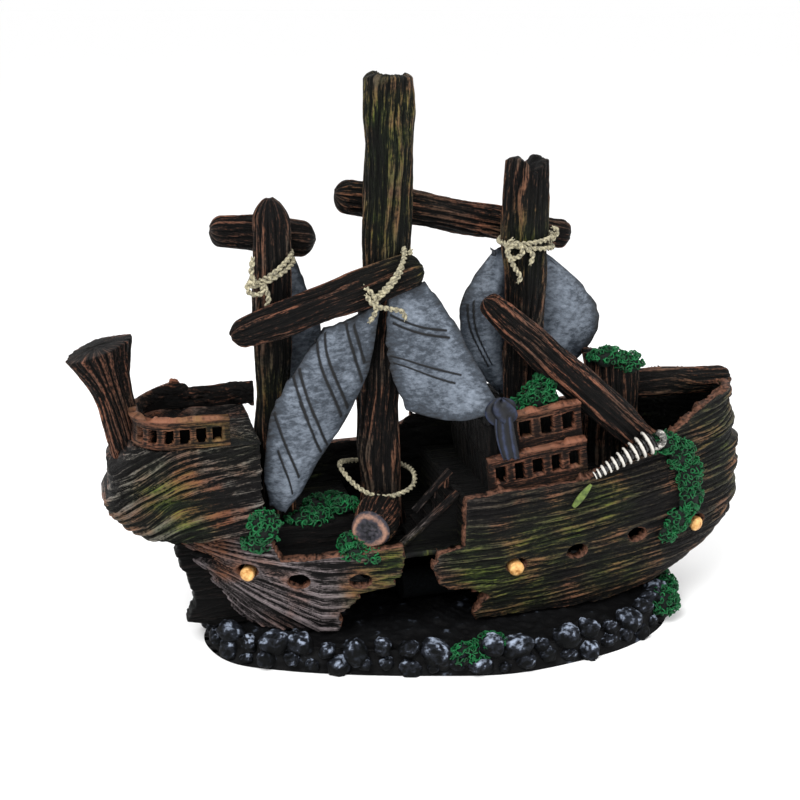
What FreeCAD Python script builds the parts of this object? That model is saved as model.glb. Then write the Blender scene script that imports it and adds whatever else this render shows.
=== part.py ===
"""Shipwreck air ornament for an aquarium: a broken galleon on a bed of stones.

The ornament is made of cast resin pieces glued together, with an air line that
enters at the back and ends in an air stone in the hold, so that bubbles leave
through the broken side.  Millimetres.  +X points to the bow, -Y to the broken
side, +Z up.  The origin is under the middle of the ornament, on its flat base.
"""
import FreeCAD
import Part
import math
import os

V = FreeCAD.Vector

# ---- driving dimensions -------------------------------------------------
BASE_HEIGHT = 10.0
BASE_BATTER = 0.95            # size of the bed's top compared with its underside
BED_HALF_DEPTH = 51.0

HULL_FOOT = BASE_HEIGHT       # the hull stands on the bed
HULL_TOP = 96.0
HULL_WALL = 4.0
HALF_BEAM = 34.0
BEAM_LEVEL = 60.0             # height at which the hull is widest
AFT_FULLNESS = (2.6, 0.6)     # exponents of the plan; (2, 0.5) would be an ellipse
FORE_FULLNESS = (3.4, 0.5)    # the bow is blunter than the stern
STEM = 134.0                  # foremost point of the bow
STEM_LEVEL = 48.0             # and its height
TRANSOM = -97.0               # sternmost point of the hull under the castle
BREAK_X = -8.0                # plane where the two hull castings meet

PORT_RADIUS = 4.0
MUZZLE_RADIUS = 2.8
CANNON_LENGTH = 14.0
STERN_PORTS = [(-72.6, 37.5), (-54.6, 33.5), (-32.5, 33.0)]
BOW_PORTS = [(26.8, 33.6), (51.1, 36.5), (76.0, 40.2), (103.8, 40.6)]

DECK_LEVEL = 43.0
DECK_THICKNESS = 3.0
FOREDECK_LEVEL = 61.0
CASTLE_FOOT = 56.0
CASTLE_DECK = 89.0
CASTLE_HALF_BEAM = 25.0
GALLERY_HEIGHT = 10.0
PLANK = 3.0                   # thickness of a rail or cabin wall

MAIN_X = -17.0
MIZZEN_X = -58.0
FORE_X = 38.5
YARD_BITE = 1.5               # how deep a yard is let into its mast

CABIN_CORNER = V(17.0, -29.5, FOREDECK_LEVEL)
CABIN_LENGTH = 38.5
CABIN_BREADTH = 52.0
CABIN_PITCH = 7.0             # degrees, bow up
LOWER_TIER = 14.5
UPPER_TIER = 14.5
UPPER_START = 11.5            # where the upper windowed rail begins

SAIL_THICKNESS = 2.4
ROPE_RADIUS = 1.0

HOSE_BARB_RADIUS = 2.4        # for a 4 mm bore air line
HOSE_BARB_LENGTH = 9.0
AIR_BORE = 1.2
SPIGOT_RADIUS = 3.2           # the inlet's shank through the hull's wall
AIR_X = 8.0                   # station of the air inlet
AIR_TUBE_RADIUS = 2.2
AIR_LEVEL = 16.0              # height of the air line's axis
AIR_STONE_RADIUS = 6.0
AIR_STONE_LENGTH = 24.0

os.makedirs("parts", exist_ok=True)
made = {}


def keep(name, shape):
    """Write one node's solids and remember them, so that later pieces can seat on them."""
    solids = [s for s in shape.Solids if s.Volume > 1.0]
    shape = solids[0] if len(solids) == 1 else Part.makeCompound(solids)
    assert solids and shape.isValid(), name
    shape.exportStep(os.path.join("parts", name + ".step"))
    made[name] = shape
    print(f"{name:22s} solids {len(solids):2d}  volume {shape.Volume:9.0f} mm3")
    return shape


def seat(shape, *names):
    """Cut a piece where it sits on or in the named pieces, so that their faces meet."""
    for name in names:
        shape = shape.cut(made[name])
    return shape


# ---- shapes used more than once ----------------------------------------
def block(x0, x1, y0, y1, z0, z1):
    """A box between two opposite corners."""
    return Part.makeBox(x1 - x0, y1 - y0, z1 - z0, V(x0, y0, z0))


def prism(outline, along, start):
    """A side outline of (x, z) points, carried along Y from start."""
    corners = [V(x, start, z) for x, z in outline]
    face = Part.Face(Part.makePolygon(corners + corners[:1]))
    return face.extrude(V(0, along, 0))


def closed_curve(points):
    """A smooth closed wire through the points."""
    curve = Part.BSplineCurve()
    curve.interpolate(Points=points, PeriodicFlag=True)
    return Part.Wire([curve.toShape()])


def timber(stations):
    """A round timber through (centre, radius) stations, square to its own length."""
    along = stations[-1][0] - stations[0][0]
    rings = [Part.Wire([Part.makeCircle(r, c, along)]) for c, r in stations]
    return Part.makeLoft(rings, True, False)


def pebble(centre, half_sizes, turn):
    """A flattened round stone or moss cushion, turned about the vertical."""
    sphere = Part.makeSphere(1.0)
    matrix = FreeCAD.Matrix()
    matrix.scale(V(*half_sizes))
    matrix.rotateZ(math.radians(turn))
    matrix.move(centre)
    return sphere.transformGeometry(matrix)


def rope(points):
    """A rope along points, as straight runs joined by arcs as large as the runs allow."""
    edges = []
    start = points[0]
    for before, corner, after in zip(points, points[1:], points[2:]):
        inward = before - corner
        outward = after - corner
        turn = math.pi - inward.getAngle(outward)
        run = min(inward.Length, outward.Length)
        reach = 0.45 * run
        radius = reach / math.tan(turn / 2)
        inward.normalize()
        outward.normalize()
        enter = corner + inward * reach
        leave = corner + outward * reach
        bisector = inward + outward
        bisector.normalize()
        depth = radius / math.cos(turn / 2) - radius
        edges.append(Part.LineSegment(start, enter).toShape())
        edges.append(Part.Arc(enter, corner + bisector * depth, leave).toShape())
        start = leave
    edges.append(Part.LineSegment(start, points[-1]).toShape())
    path = Part.Wire(edges)
    ring = Part.Wire([Part.makeCircle(ROPE_RADIUS, points[0], points[1] - points[0])])
    return path.makePipeShell([ring], True, False)


def sail(rows):
    """A cast sail: a smooth sheet through rows of (x, y, z) points, given its thickness."""
    sheet = Part.BSplineSurface()
    sheet.interpolate([[V(*p) for p in row] for row in rows])
    return sheet.toShape().extrude(V(0, SAIL_THICKNESS, 0))


def windowed_wall(length, height, windows, sill, head, side):
    """An upright wall with a row of square windows, at the origin along +X."""
    wall = Part.makeBox(length, PLANK, height)
    pitch = (length - side) / windows
    width = 0.58 * pitch
    for i in range(windows):
        left = side + i * pitch + (pitch - width) / 2 - side / 2
        wall = wall.cut(block(left, left + width, -1, PLANK + 1, sill, head))
    return wall


# ---- hull form ----------------------------------------------------------
def stern_at(z):
    """The sternpost rakes aft up to the castle."""
    return max(TRANSOM, -75.0 - 0.63 * (z - HULL_FOOT))


def stem_at(z):
    """The stem curves forward to its foremost point, then tumbles home a little."""
    if z < STEM_LEVEL:
        return STEM - 36.0 * ((STEM_LEVEL - z) / 38.0) ** 2
    return STEM - 8.0 * ((z - STEM_LEVEL) / 45.0) ** 1.5


def half_beam_at(z):
    """Half the breadth amidships at a height."""
    if z < BEAM_LEVEL:
        return HALF_BEAM - 7.0 * ((BEAM_LEVEL - z) / 48.0) ** 2
    return HALF_BEAM - 2.0 * ((z - BEAM_LEVEL) / 35.0) ** 2


def fullness(s):
    """Share of the half beam at s, which runs from -1 at the stern to 1 at the stem."""
    power, root = AFT_FULLNESS if s < 0 else FORE_FULLNESS
    return max(0.0, 1 - abs(s) ** power) ** root


def half_breadth(x, z):
    """Half the hull's breadth at a station and height."""
    aft, fore = stern_at(z), stem_at(z)
    return half_beam_at(z) * fullness(2 * (x - aft) / (fore - aft) - 1)


def waterline(z, inset):
    """The hull's outline at one height, moved in by inset."""
    aft, fore = stern_at(z) + inset, stem_at(z) - inset
    middle, reach = (fore + aft) / 2, (fore - aft) / 2
    beam = half_beam_at(z) - inset
    points = []
    steps = 32
    for i in range(steps):
        angle = 2 * math.pi * i / steps
        s = math.cos(angle)
        y = math.copysign(beam * fullness(s), math.sin(angle))
        points.append(V(middle + reach * s, y, z))
    return closed_curve(points)


def hull_form(inset, levels):
    """The hull as a solid, through its waterlines."""
    return Part.makeLoft([waterline(z, inset) for z in levels], True, False)


HULL_LEVELS = [HULL_FOOT, 22, 34, 46, 58, 76, HULL_TOP]
outer = hull_form(0.0, HULL_LEVELS)
inner = hull_form(HULL_WALL, HULL_LEVELS)

# Above these lines the hull is cut away, on the broken side and on the whole side.
BROKEN_SHEER = [
    (-140, CASTLE_FOOT), (-67, CASTLE_FOOT), (-61, 42), (-17, 46.5), (-4, 41.4),
    (6, 44), (6, 63.5), (53, 66), (74, 74.5), (87, 78), (102, 87), (112, 90), (140, 90),
]
WHOLE_SHEER = [
    (-140, CASTLE_FOOT), (-60, CASTLE_FOOT), (-59, 67), (-10, 67), (2, 74), (20, 76),
    (62, 76), (87, 80), (102, 87), (112, 90), (140, 90),
]
# The hole in the broken side, from the bed up to the deck's edge.
WRECK_HOLE = [
    (-17, 60), (-17, 46.5), (-18.5, 39.5), (-24, 33), (-33, 29.5), (-38, 21), (-40, 5),
    (17.3, 5), (16.3, 19.4), (13, 23.7), (3, 28.3), (-5.4, 38.2), (-3.6, 41.4), (-3.6, 60),
]


def above(sheer, start, breadth):
    """Everything above a sheer line on one side of the ship."""
    return prism(sheer + [(140, 120), (-140, 120)], breadth, start)


def port_bar(x, z, side, radius, depth, proud, drop=0.0):
    """A round bar square to the ship's side at a gun port; side is -1 or 1."""
    skin = half_breadth(x, z)
    slope = half_breadth(x + 1, z) - half_breadth(x - 1, z)
    outward = V(-slope / 2, 1, 0)
    outward.normalize()
    outward = V(outward.x, outward.y * side, 0)
    start = V(x, side * skin, z - drop) + outward * proud
    return Part.makeCylinder(radius, depth, start, outward * -1)


shell = outer.cut(inner)
shell = shell.cut(above(BROKEN_SHEER, -60, 60))
shell = shell.cut(above(WHOLE_SHEER, 0, 60))
shell = shell.cut(prism(WRECK_HOLE, 58, -60))
AIR_WALL = half_breadth(AIR_X, AIR_LEVEL)
shell = shell.cut(Part.makeCylinder(SPIGOT_RADIUS, 20, V(AIR_X, AIR_WALL - 15, AIR_LEVEL),
                                    V(0, 1, 0)))
for x, z in STERN_PORTS + BOW_PORTS:
    for side in (-1, 1):
        shell = shell.cut(port_bar(x, z, side, PORT_RADIUS, 18.0, 6.0))

# ---- bed of rock and stones ---------------------------------------------
BED_OUTLINE = [
    (-87, 0), (-79, -17), (-60, -28), (-37, -37), (-10, -45), (18, -BED_HALF_DEPTH),
    (46, -49), (70, -43), (90, -30), (102, -8), (102, 14), (88, 32), (62, 44),
    (30, BED_HALF_DEPTH), (-6, 49), (-44, 41), (-70, 29), (-84, 15),
]


def bed_curve(scale, z):
    """The bed's outline at one height, smaller towards its top."""
    return closed_curve([V(x * scale, y * scale, z) for x, y in BED_OUTLINE])


bed = Part.makeLoft([bed_curve(1.0, 0.0), bed_curve(BASE_BATTER, BASE_HEIGHT)], True, False)
keep("seabed_base", bed)


def stone_row(count, scale, level, girth):
    """A row of stones round the bed, of uneven size, none cutting into its neighbour."""
    row = []
    places = bed_curve(scale, level).discretize(count + 1)[:count]
    for i, place in enumerate(places):
        size = girth * (1 + 0.24 * math.sin(2.3 * i))
        centre = V(place.x, place.y, level + 1.2 * math.cos(1.7 * i))
        stone = pebble(centre, (size, size * 0.8, size * 0.78), 40 * i)
        for other in row[-1:] + row[:1]:
            stone = stone.cut(other)
        row.append(stone)
    return row


# ---- hull castings, sternpost and cannons -------------------------------
keep("stern_hull", shell.common(block(-140, BREAK_X, -60, 60, 0, 120)))
keep("bow_hull", shell.common(block(BREAK_X, 140, -60, 60, 0, 120)))

STONE_COUNT = 38
rim_stones = Part.makeCompound(stone_row(STONE_COUNT, 0.945, 6.8, 5.4))
keep("rim_stones", seat(rim_stones, "seabed_base", "bow_hull"))

FIN_HALF = 4.5
fin = prism([(-99, 45), (-96, 32), (-92, 19), (-94, 12), (-86, 9.9), (-62, 9.9), (-62, 45)],
            2 * FIN_HALF, -FIN_HALF)
keep("sternpost_fin", seat(fin.cut(outer), "seabed_base", "rim_stones"))

CANNON_DROP = PORT_RADIUS - MUZZLE_RADIUS
cannons = []
for x, z in (STERN_PORTS[0], BOW_PORTS[0], BOW_PORTS[3]):
    for side in (-1, 1):
        cannons.append(port_bar(x, z, side, MUZZLE_RADIUS, CANNON_LENGTH, 1.0, CANNON_DROP))
keep("cannons", seat(Part.makeCompound(cannons), "stern_hull", "bow_hull"))

# ---- decks and bulkhead -------------------------------------------------
waist = inner.common(block(-90, 6, -60, 60, DECK_LEVEL - DECK_THICKNESS, DECK_LEVEL))
keep("waist_deck", seat(waist, "stern_hull", "bow_hull"))
foredeck = inner.common(block(9, 140, -60, 60, FOREDECK_LEVEL - DECK_THICKNESS, FOREDECK_LEVEL))
keep("foredeck", seat(foredeck, "bow_hull"))
bulkhead = inner.common(block(6, 9, -60, 60, DECK_LEVEL - DECK_THICKNESS, FOREDECK_LEVEL))
keep("forecastle_bulkhead", seat(bulkhead, "bow_hull", "waist_deck", "foredeck"))
hatch = inner.common(block(-64, -28, -15, 24, DECK_LEVEL, DECK_LEVEL + 9))
keep("deck_hatch", seat(hatch, "waist_deck", "stern_hull"))

# ---- stern castle -------------------------------------------------------
CASTLE_SIDE = [
    (-67, CASTLE_FOOT), (-66, CASTLE_DECK), (-108, CASTLE_DECK), (-117.5, 79), (-116, 65),
    (-107, 55), (-98, 53.5), (-94, CASTLE_FOOT),
]
CASTLE_CORNER = 15.0


def castle_plan(inset, front, z0, z1):
    """The castle seen from above: square in front, with rounded stern corners."""
    half = CASTLE_HALF_BEAM - inset
    aft = -118.0 + inset
    box = block(aft, front, -half, half, z0, z1)
    corners = [e for e in box.Edges
               if abs(e.CenterOfMass.x - aft) < 0.1 and abs(e.tangentAt(0).z) > 0.9]
    return box.makeFillet(CASTLE_CORNER - inset, corners)


castle = prism(CASTLE_SIDE, 60, -30).common(castle_plan(0, -60, 40, 120))
keep("stern_castle", seat(castle, "stern_hull", "sternpost_fin"))

GALLERY_FRONT = -77.0
ring = castle_plan(0.5, GALLERY_FRONT, CASTLE_DECK, CASTLE_DECK + GALLERY_HEIGHT)
ring = ring.cut(castle_plan(0.5 + PLANK, 0, CASTLE_DECK - 1, 120))
ring.translate(V(8.0, 0, 0))
gallery = ring.common(block(-130, GALLERY_FRONT, -40, -2, 0, 120))
WINDOW_SILL = CASTLE_DECK + 2.0
WINDOW_HEAD = CASTLE_DECK + 7.0
for i in range(4):
    left = -99.8 + 5.6 * i
    gallery = gallery.cut(block(left, left + 3.6, -40, -15, WINDOW_SILL, WINDOW_HEAD))
for i in range(2):
    near = -14.0 + 5.0 * i
    gallery = gallery.cut(block(-130, -100, near, near + 3.0, WINDOW_SILL, WINDOW_HEAD))
keep("stern_gallery", gallery)
far_wall = ring.common(block(-130, GALLERY_FRONT, 4, 40, 0, 120))
far_wall = far_wall.fuse(block(GALLERY_FRONT, -62, CASTLE_HALF_BEAM - 0.5 - PLANK,
                               CASTLE_HALF_BEAM - 0.5, CASTLE_DECK, CASTLE_DECK + 8))
far_wall = far_wall.cut(prism([(-120, 93), (-107, 94), (-91, 99), (-87, 95.5), (-60, 96.5),
                               (-60, 110), (-120, 110)], 60, 0))
keep("castle_bulwark", far_wall)

flare = timber([(V(-108, 0, 76), 7.5), (V(-112, 0, 92), 6.0), (V(-115.5, 0, 106), 7.0),
                (V(-120.8, 0, 125), 13.8)])
flare_top = prism([(-140, 117.2), (-126, 118.0), (-100, 122.5), (-100, 150), (-140, 150)],
                  60, -30)
keep("stern_post", seat(flare.cut(flare_top), "stern_castle", "castle_bulwark",
                        "stern_gallery"))

# ---- masts and yards ----------------------------------------------------
mizzen = timber([(V(MIZZEN_X, 0, DECK_LEVEL + 9), 7.0), (V(MIZZEN_X, 0, 96), 6.4),
                 (V(MIZZEN_X + 1, 0, 140), 6.8), (V(MIZZEN_X + 1, 0, 168.5), 6.6)])
keep("mizzen_mast", seat(mizzen, "deck_hatch"))
main = timber([(V(MAIN_X, 0, DECK_LEVEL), 8.6), (V(MAIN_X - 1, 0, 99), 7.8),
               (V(MAIN_X + 2, 0, 165), 9.1), (V(MAIN_X + 3, 0, 212), 7.8)])
hollow = Part.makeCone(4.6, 3.0, 10, V(MAIN_X + 3, 0, 212), V(0, 0, -1))
keep("main_mast", seat(main.cut(hollow), "waist_deck"))
CABIN_ROOF = FOREDECK_LEVEL + LOWER_TIER + UPPER_TIER
fore = timber([(V(FORE_X, 0, CABIN_ROOF - 1), 6.2), (V(FORE_X, 0, 130), 7.6),
               (V(FORE_X, 0, 160), 8.5), (V(FORE_X, 0, 180), 7.6)])
fork = prism([(34, 190), (37, 173), (40, 190)], 40, -20)
FORE_MAST = fore.cut(fork)

YARD_Y = -(8.4 + 5.2 - YARD_BITE)
main_yard = timber([(V(-72, YARD_Y, 124.5), 3.6), (V(-50, YARD_Y, 131), 5.2),
                    (V(-7, YARD_Y, 144), 5.4)])
main_yard = main_yard.fuse(Part.makeSphere(5.35, V(-7.2, YARD_Y, 143.9)))
keep("main_yard", seat(main_yard, "main_mast"))
MIZZEN_YARD_Y = 6.6 + 6.2 - YARD_BITE
mizzen_yard = timber([(V(-76, MIZZEN_YARD_Y, 157.5), 5.6), (V(-58, MIZZEN_YARD_Y, 155), 6.4),
                      (V(-40, MIZZEN_YARD_Y, 152.5), 6.0)])
keep("mizzen_yard", seat(mizzen_yard, "mizzen_mast"))
LONG_YARD_Y = 8.8 + 6.4 - YARD_BITE
long_yard = timber([(V(-26, LONG_YARD_Y, 167.2), 6.4), (V(10, LONG_YARD_Y, 159.6), 6.4),
                    (V(57.5, LONG_YARD_Y, 149.6), 5.6)])
for end, radius in (((-26, 167.2), 6.3), ((57.5, 149.6), 5.5)):
    long_yard = long_yard.fuse(Part.makeSphere(radius, V(end[0], LONG_YARD_Y, end[1])))



# ---- forecastle cabin ---------------------------------------------------
def pitched(shape):
    """Move a cabin piece from its own level frame to its tilted place on the foredeck."""
    shape.translate(CABIN_CORNER)
    shape.rotate(CABIN_CORNER, V(0, 1, 0), -CABIN_PITCH)
    return shape


below_foredeck = block(-150, 150, -60, 60, 0, FOREDECK_LEVEL)
lower = windowed_wall(CABIN_LENGTH, LOWER_TIER, 5, 5.0, 11.5, 2.0)
lower = lower.fuse(block(0, CABIN_LENGTH, 0, PLANK, -5, 0.01))
keep("lower_gallery", seat(pitched(lower).cut(below_foredeck), "bow_hull"))
core = block(1, CABIN_LENGTH - 1, 2 * PLANK, CABIN_BREADTH, -5, LOWER_TIER)
core = core.fuse(block(1, CABIN_LENGTH - 1, PLANK, CABIN_BREADTH, LOWER_TIER - 2, LOWER_TIER))
core = core.fuse(block(1, UPPER_START, PLANK, CABIN_BREADTH, LOWER_TIER, LOWER_TIER + 13))
core = core.fuse(block(UPPER_START, CABIN_LENGTH - 1, 3 * PLANK, CABIN_BREADTH,
                       LOWER_TIER, LOWER_TIER + 11))
keep("forecastle_cabin", seat(pitched(core).cut(below_foredeck), "bow_hull", "lower_gallery"))
upper = windowed_wall(CABIN_LENGTH - UPPER_START, UPPER_TIER, 3, 5.0, 11.5, 2.0)
upper.translate(V(UPPER_START, PLANK, LOWER_TIER))
keep("upper_gallery", seat(pitched(upper), "forecastle_cabin", "lower_gallery"))
keep("fore_mast", seat(FORE_MAST, "forecastle_cabin", "upper_gallery"))
keep("long_yard", seat(long_yard, "main_mast", "fore_mast"))

stump = timber([(V(78, 1, FOREDECK_LEVEL), 11.5), (V(77, 0, 84), 10.0), (V(75, 0, 106), 10.5)])
stump = stump.cut(prism([(55, 109), (66, 107), (90, 99), (90, 130), (55, 130)], 60, -30))
keep("foredeck_stump", seat(stump, "foredeck"))
bowsprit = timber([(V(82, 1, 90.3), 5.4), (V(104, 3, 89.4), 5.0), (V(129, 5, 88.4), 4.6)])
keep("bowsprit", seat(bowsprit, "foredeck_stump", "bow_hull"))
spar = timber([(V(21.5, -10.4, 128.6), 4.6), (V(40, -15.5, 111.6), 5.4), (V(82, -25, 72.6), 6.2)])
spar = spar.fuse(Part.makeSphere(4.5, V(21.6, -10.4, 128.5)))
keep("fallen_spar", seat(spar, "fore_mast", "bow_hull", "foredeck_stump", "upper_gallery",
                         "forecastle_cabin"))

# ---- deck pieces --------------------------------------------------------
cask_axis = V(9.5, 18, 0)
cask_end = V(-28.0, -25.0, DECK_LEVEL + 8.6)
cask = timber([(cask_end, 6.4), (cask_end + cask_axis * 0.45, 8.4),
               (cask_end + cask_axis, 7.2)])
keep("deck_cask", seat(cask, "main_mast", "waist_deck", "deck_hatch", "stern_hull"))


def ladder_side(y):
    """One sloping side of the companion ladder with its posts and hand rail."""
    side = prism([(-15, DECK_LEVEL), (6, DECK_LEVEL), (6, 62), (3.5, 62), (-15, DECK_LEVEL + 2)],
                 2.4, y)
    rail = prism([(-14.5, 51), (4.5, 68), (4.5, 70.5), (-15, 53)], 2.4, y)
    for x in (-12.5, -5.0, 2.5):
        foot = DECK_LEVEL + 1 + (x + 15) * 0.95
        side = side.fuse(block(x - 1, x + 1, y, y + 2.4, foot - 2, foot + 9.5))
    return side.fuse(rail)


ladder = ladder_side(-25.0)
ladder = ladder.fuse(ladder_side(-10.0))
for i in range(5):
    left = -11.5 + 3.6 * i
    tread = DECK_LEVEL + 2.5 + 3.6 * i
    ladder = ladder.fuse(block(left, 6, -22.7, -9.9, tread - 1.6, tread))
keep("companion_ladder", seat(ladder, "forecastle_bulkhead", "bow_hull", "waist_deck",
                              "main_mast", "deck_cask"))

# ---- sails --------------------------------------------------------------
aft_wing = sail([
    [(-41, -13.5, 125.5), (-32, -12.5, 126.5), (-22, -9.0, 129)],
    [(-52.8, -14, 111), (-40, -15, 108), (-26, -9.3, 106)],
    [(-61.2, -15, 97), (-48, -16, 92), (-34.2, -11, 88.5)],
    [(-65, -14.5, 76), (-54, -16, 75), (-43, -12, 77)],
    [(-62.6, -13, 60), (-57.5, -14, 58), (-52, -13, 62)],
])
keep("main_sail_aft", seat(aft_wing, "main_mast", "main_yard", "mizzen_mast", "stern_castle",
                           "deck_hatch"))
fore_wing = sail([
    [(-18, -11.5, 135.5), (-11, -11.5, 137), (-4.5, -12.5, 139.5)],
    [(-18.5, -10.5, 118.6), (-6, -14, 121), (6.2, -13, 125.6)],
    [(-17, -10.5, 107), (-1, -16, 106), (14.8, -18, 107.9)],
    [(-11.4, -11.5, 92), (5, -18, 88.5), (22, -25, 92.5)],
])
keep("main_sail_fore", seat(fore_wing, "main_mast", "main_yard", "main_sail_aft",
                            "forecastle_cabin", "upper_gallery"))
fore_sail = sail([
    [(29, 9, 146), (33, 10, 146), (38.5, 10, 146), (44, 10, 146), (50, 9, 144)],
    [(19, 6, 132), (28, 3, 133), (38.5, 10, 134), (52, 3, 133), (65.5, 6, 129)],
    [(15.5, 6, 117.5), (25, 2, 117), (38.5, 9.5, 117), (55, 2, 117), (71.8, 6, 117)],
    [(20, 6, 102), (29, 4, 102), (38.5, 9.5, 103), (50, 4, 103), (66, 6, 103.5)],
    [(31, 6, 90), (35, 7, 90), (38.5, 9, 92), (44, 7, 92), (51, 6, 93)],
])
keep("fore_sail", seat(fore_sail, "fore_mast", "forecastle_cabin", "fallen_spar", "long_yard",
                       "foredeck_stump"))
mizzen_scrap = sail([
    [(-56, 8.0, 150), (-52, 8, 149), (-47.5, 9, 148)],
    [(-57, 7.6, 134), (-50, 7, 134), (-42.5, 8, 135)],
    [(-58, 7.4, 116), (-48, 6, 117), (-37.5, 8, 118)],
    [(-59, 7.4, 97), (-52, 8, 96), (-45, 8, 97)],
])
keep("mizzen_sail", seat(mizzen_scrap, "mizzen_mast", "mizzen_yard"))
knot = pebble(V(20.5, -27.6, 93.6), (5.2, 3.4, 4.4), 0)
tail = prism([(17.5, 92), (23.5, 92), (25, 84), (27, 77.5), (20.5, 77), (18.5, 84)], 2.0, -30.5)
keep("sail_knot", seat(knot.fuse(tail), "main_sail_fore", "forecastle_cabin", "upper_gallery",
                       "lower_gallery"))

# ---- rope lashings ------------------------------------------------------
def hoop(centre, radius, tilt_axis, tilt):
    """One turn of rope round a timber, tilted about an axis through its centre."""
    turn = Part.makeTorus(radius, ROPE_RADIUS, centre)
    turn.rotate(centre, tilt_axis, tilt)
    return turn


FRONT = V(0, 1, 0)
turns = hoop(V(-57, -0.5, 146), 8.0, FRONT, -22).fuse(hoop(V(-57, -0.5, 143.5), 8.0, FRONT, -26))
tail_rope = rope([V(-58.5, -9.0, 139.5), V(-60.5, -9.6, 133), V(-63.5, -9.4, 127),
                  V(-65, -9.2, 120)])
keep("mizzen_lashing", seat(turns.fuse(tail_rope), "mizzen_mast", "mizzen_yard", "mizzen_sail",
                            "main_sail_aft", "main_yard"))
turns = hoop(V(-15, -5, 139), 14.2, FRONT, 38).fuse(hoop(V(-15, -5, 136.5), 14.2, FRONT, 42))
tail_rope = rope([V(-18, -19.4, 130), V(-15, -19.8, 124), V(-10, -19.6, 121), V(-7, -19.2, 117)])
keep("main_lashing", seat(turns.fuse(tail_rope), "main_mast", "main_yard", "main_sail_fore",
                          "main_sail_aft"))
turns = hoop(V(FORE_X, 1, 149), 9.6, FRONT, 4).fuse(hoop(V(FORE_X, 1, 151.4), 9.6, FRONT, -6))
tail_rope = rope([V(34, -9.6, 149), V(31, -10.6, 145), V(32.5, -10.8, 140), V(31.5, -10.6, 134)])
keep("fore_lashing", seat(turns.fuse(tail_rope), "fore_mast", "long_yard", "fore_sail",
                          "fallen_spar"))
foot_turn = hoop(V(-19, 0, 63.5), 12.2, V(1, 0, 0), 24)
foot_turn.rotate(V(-19, 0, 63.5), FRONT, 12)
keep("mast_foot_rope", seat(foot_turn, "main_mast", "deck_cask", "deck_hatch"))

# ---- shell, weed and moss -----------------------------------------------
shell_axis = V(28, -1.0, 15.5)
apex = V(56.0, -32.5, 67.8)
turret = timber([(apex, 1.2), (apex + shell_axis * 0.5, 2.7), (apex + shell_axis, 4.4)])
keep("turret_shell", seat(turret, "bow_hull", "fallen_spar", "lower_gallery"))
weed = prism([(46.5, 57), (48, 56.5), (54.5, 64.5), (52.5, 65.5)], 3.0, -35.3)
keep("weed_blade", seat(weed, "bow_hull"))


def moss(name, cushions, *rests_on):
    """A node of moss cushions, each (centre, half sizes, turn), seated on what it grows on."""
    shapes = [pebble(V(*c), h, t) for c, h, t in cushions]
    heap = shapes[0]
    for extra in shapes[1:]:
        heap = heap.fuse(extra)
    keep(name, seat(heap, *rests_on))


made["hull_form"] = outer     # moss on the ship's side is trimmed to the whole form


def side_moss(name, pads, *rests_on):
    """A node of round pads of moss, each (x, z, radius, thickness), on the broken side."""
    shapes = [port_bar(x, z, -1, radius, 3 * thickness, thickness)
              for x, z, radius, thickness in pads]
    patch = shapes[0]
    for extra in shapes[1:]:
        patch = patch.fuse(extra)
    keep(name, seat(patch, "hull_form", *rests_on))


side_moss("moss_stern", [(-67, 54, 7.0, 3.0)], "stern_castle")
side_moss("moss_waist", [(-35, 45, 5.0, 2.4)])
side_moss("moss_bow", [(86, 76, 5.0, 2.8), (94, 65, 6.0, 2.8), (96, 51, 6.0, 2.8), (90, 41, 4.6, 2.6)],
          "turret_shell")
moss("moss_hatch", [((-45, -8, 52), (11, 6, 3.5), 0), ((-38, 6, 52), (8, 7, 4), 0)],
     "deck_hatch", "stern_hull", "mizzen_mast", "main_sail_aft")
moss("moss_coaming", [((-33, -21, 44), (5, 5, 4), 0)], "waist_deck", "deck_cask", "deck_hatch")
moss("moss_cabin", [((33, -17, 91), (9, 8, 5), 0), ((42, -9, 95), (7, 7, 7), 0)],
     "forecastle_cabin", "upper_gallery", "fore_mast", "fallen_spar", "main_sail_fore",
     "fore_sail")
moss("moss_stump", [((74, -6, 104), (10, 7, 4.5), 0)], "foredeck_stump", "fore_sail",
     "fallen_spar")
moss("moss_bed", [((5, -43, 10), (10, 6, 4), 0), ((89, -18, 13), (9, 8, 5), 30)],
     "seabed_base", "rim_stones", "hull_form")

# ---- air line -----------------------------------------------------------
TO_FAR_SIDE = V(0, 1, 0)
FLANGE_RADIUS = 5.0
FLANGE_THICKNESS = 3.0


def air_pipe(radius, start, end):
    """A round length of the air line along Y."""
    return Part.makeCylinder(radius, end - start, V(AIR_X, start, AIR_LEVEL), TO_FAR_SIDE)


inside = AIR_WALL - HULL_WALL - 1.0
flange_face = AIR_WALL + FLANGE_THICKNESS
inlet = air_pipe(SPIGOT_RADIUS, inside, flange_face)
inlet = inlet.fuse(air_pipe(FLANGE_RADIUS, AIR_WALL - 2.0, flange_face).cut(outer))
inlet = inlet.fuse(air_pipe(HOSE_BARB_RADIUS, flange_face, flange_face + HOSE_BARB_LENGTH))
inlet = inlet.cut(air_pipe(AIR_BORE, 0, 60))
keep("air_inlet", seat(inlet, "bow_hull"))
tube = air_pipe(AIR_TUBE_RADIUS, AIR_STONE_RADIUS, inside).cut(air_pipe(AIR_BORE, 0, 60))
keep("air_tube", tube)
stone_end = V(AIR_X - AIR_STONE_LENGTH + 6.0, 0.0, AIR_LEVEL)
keep("air_stone", Part.makeCylinder(AIR_STONE_RADIUS, AIR_STONE_LENGTH, stone_end, V(1, 0, 0)))

del made["hull_form"]
whole = Part.makeCompound(list(made.values()))
limits = whole.BoundBox
print(f"{len(made)} nodes")
print(f"x {limits.XMin:.1f} {limits.XMax:.1f}  y {limits.YMin:.1f} {limits.YMax:.1f}  "
      f"z {limits.ZMin:.1f} {limits.ZMax:.1f}")
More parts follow.
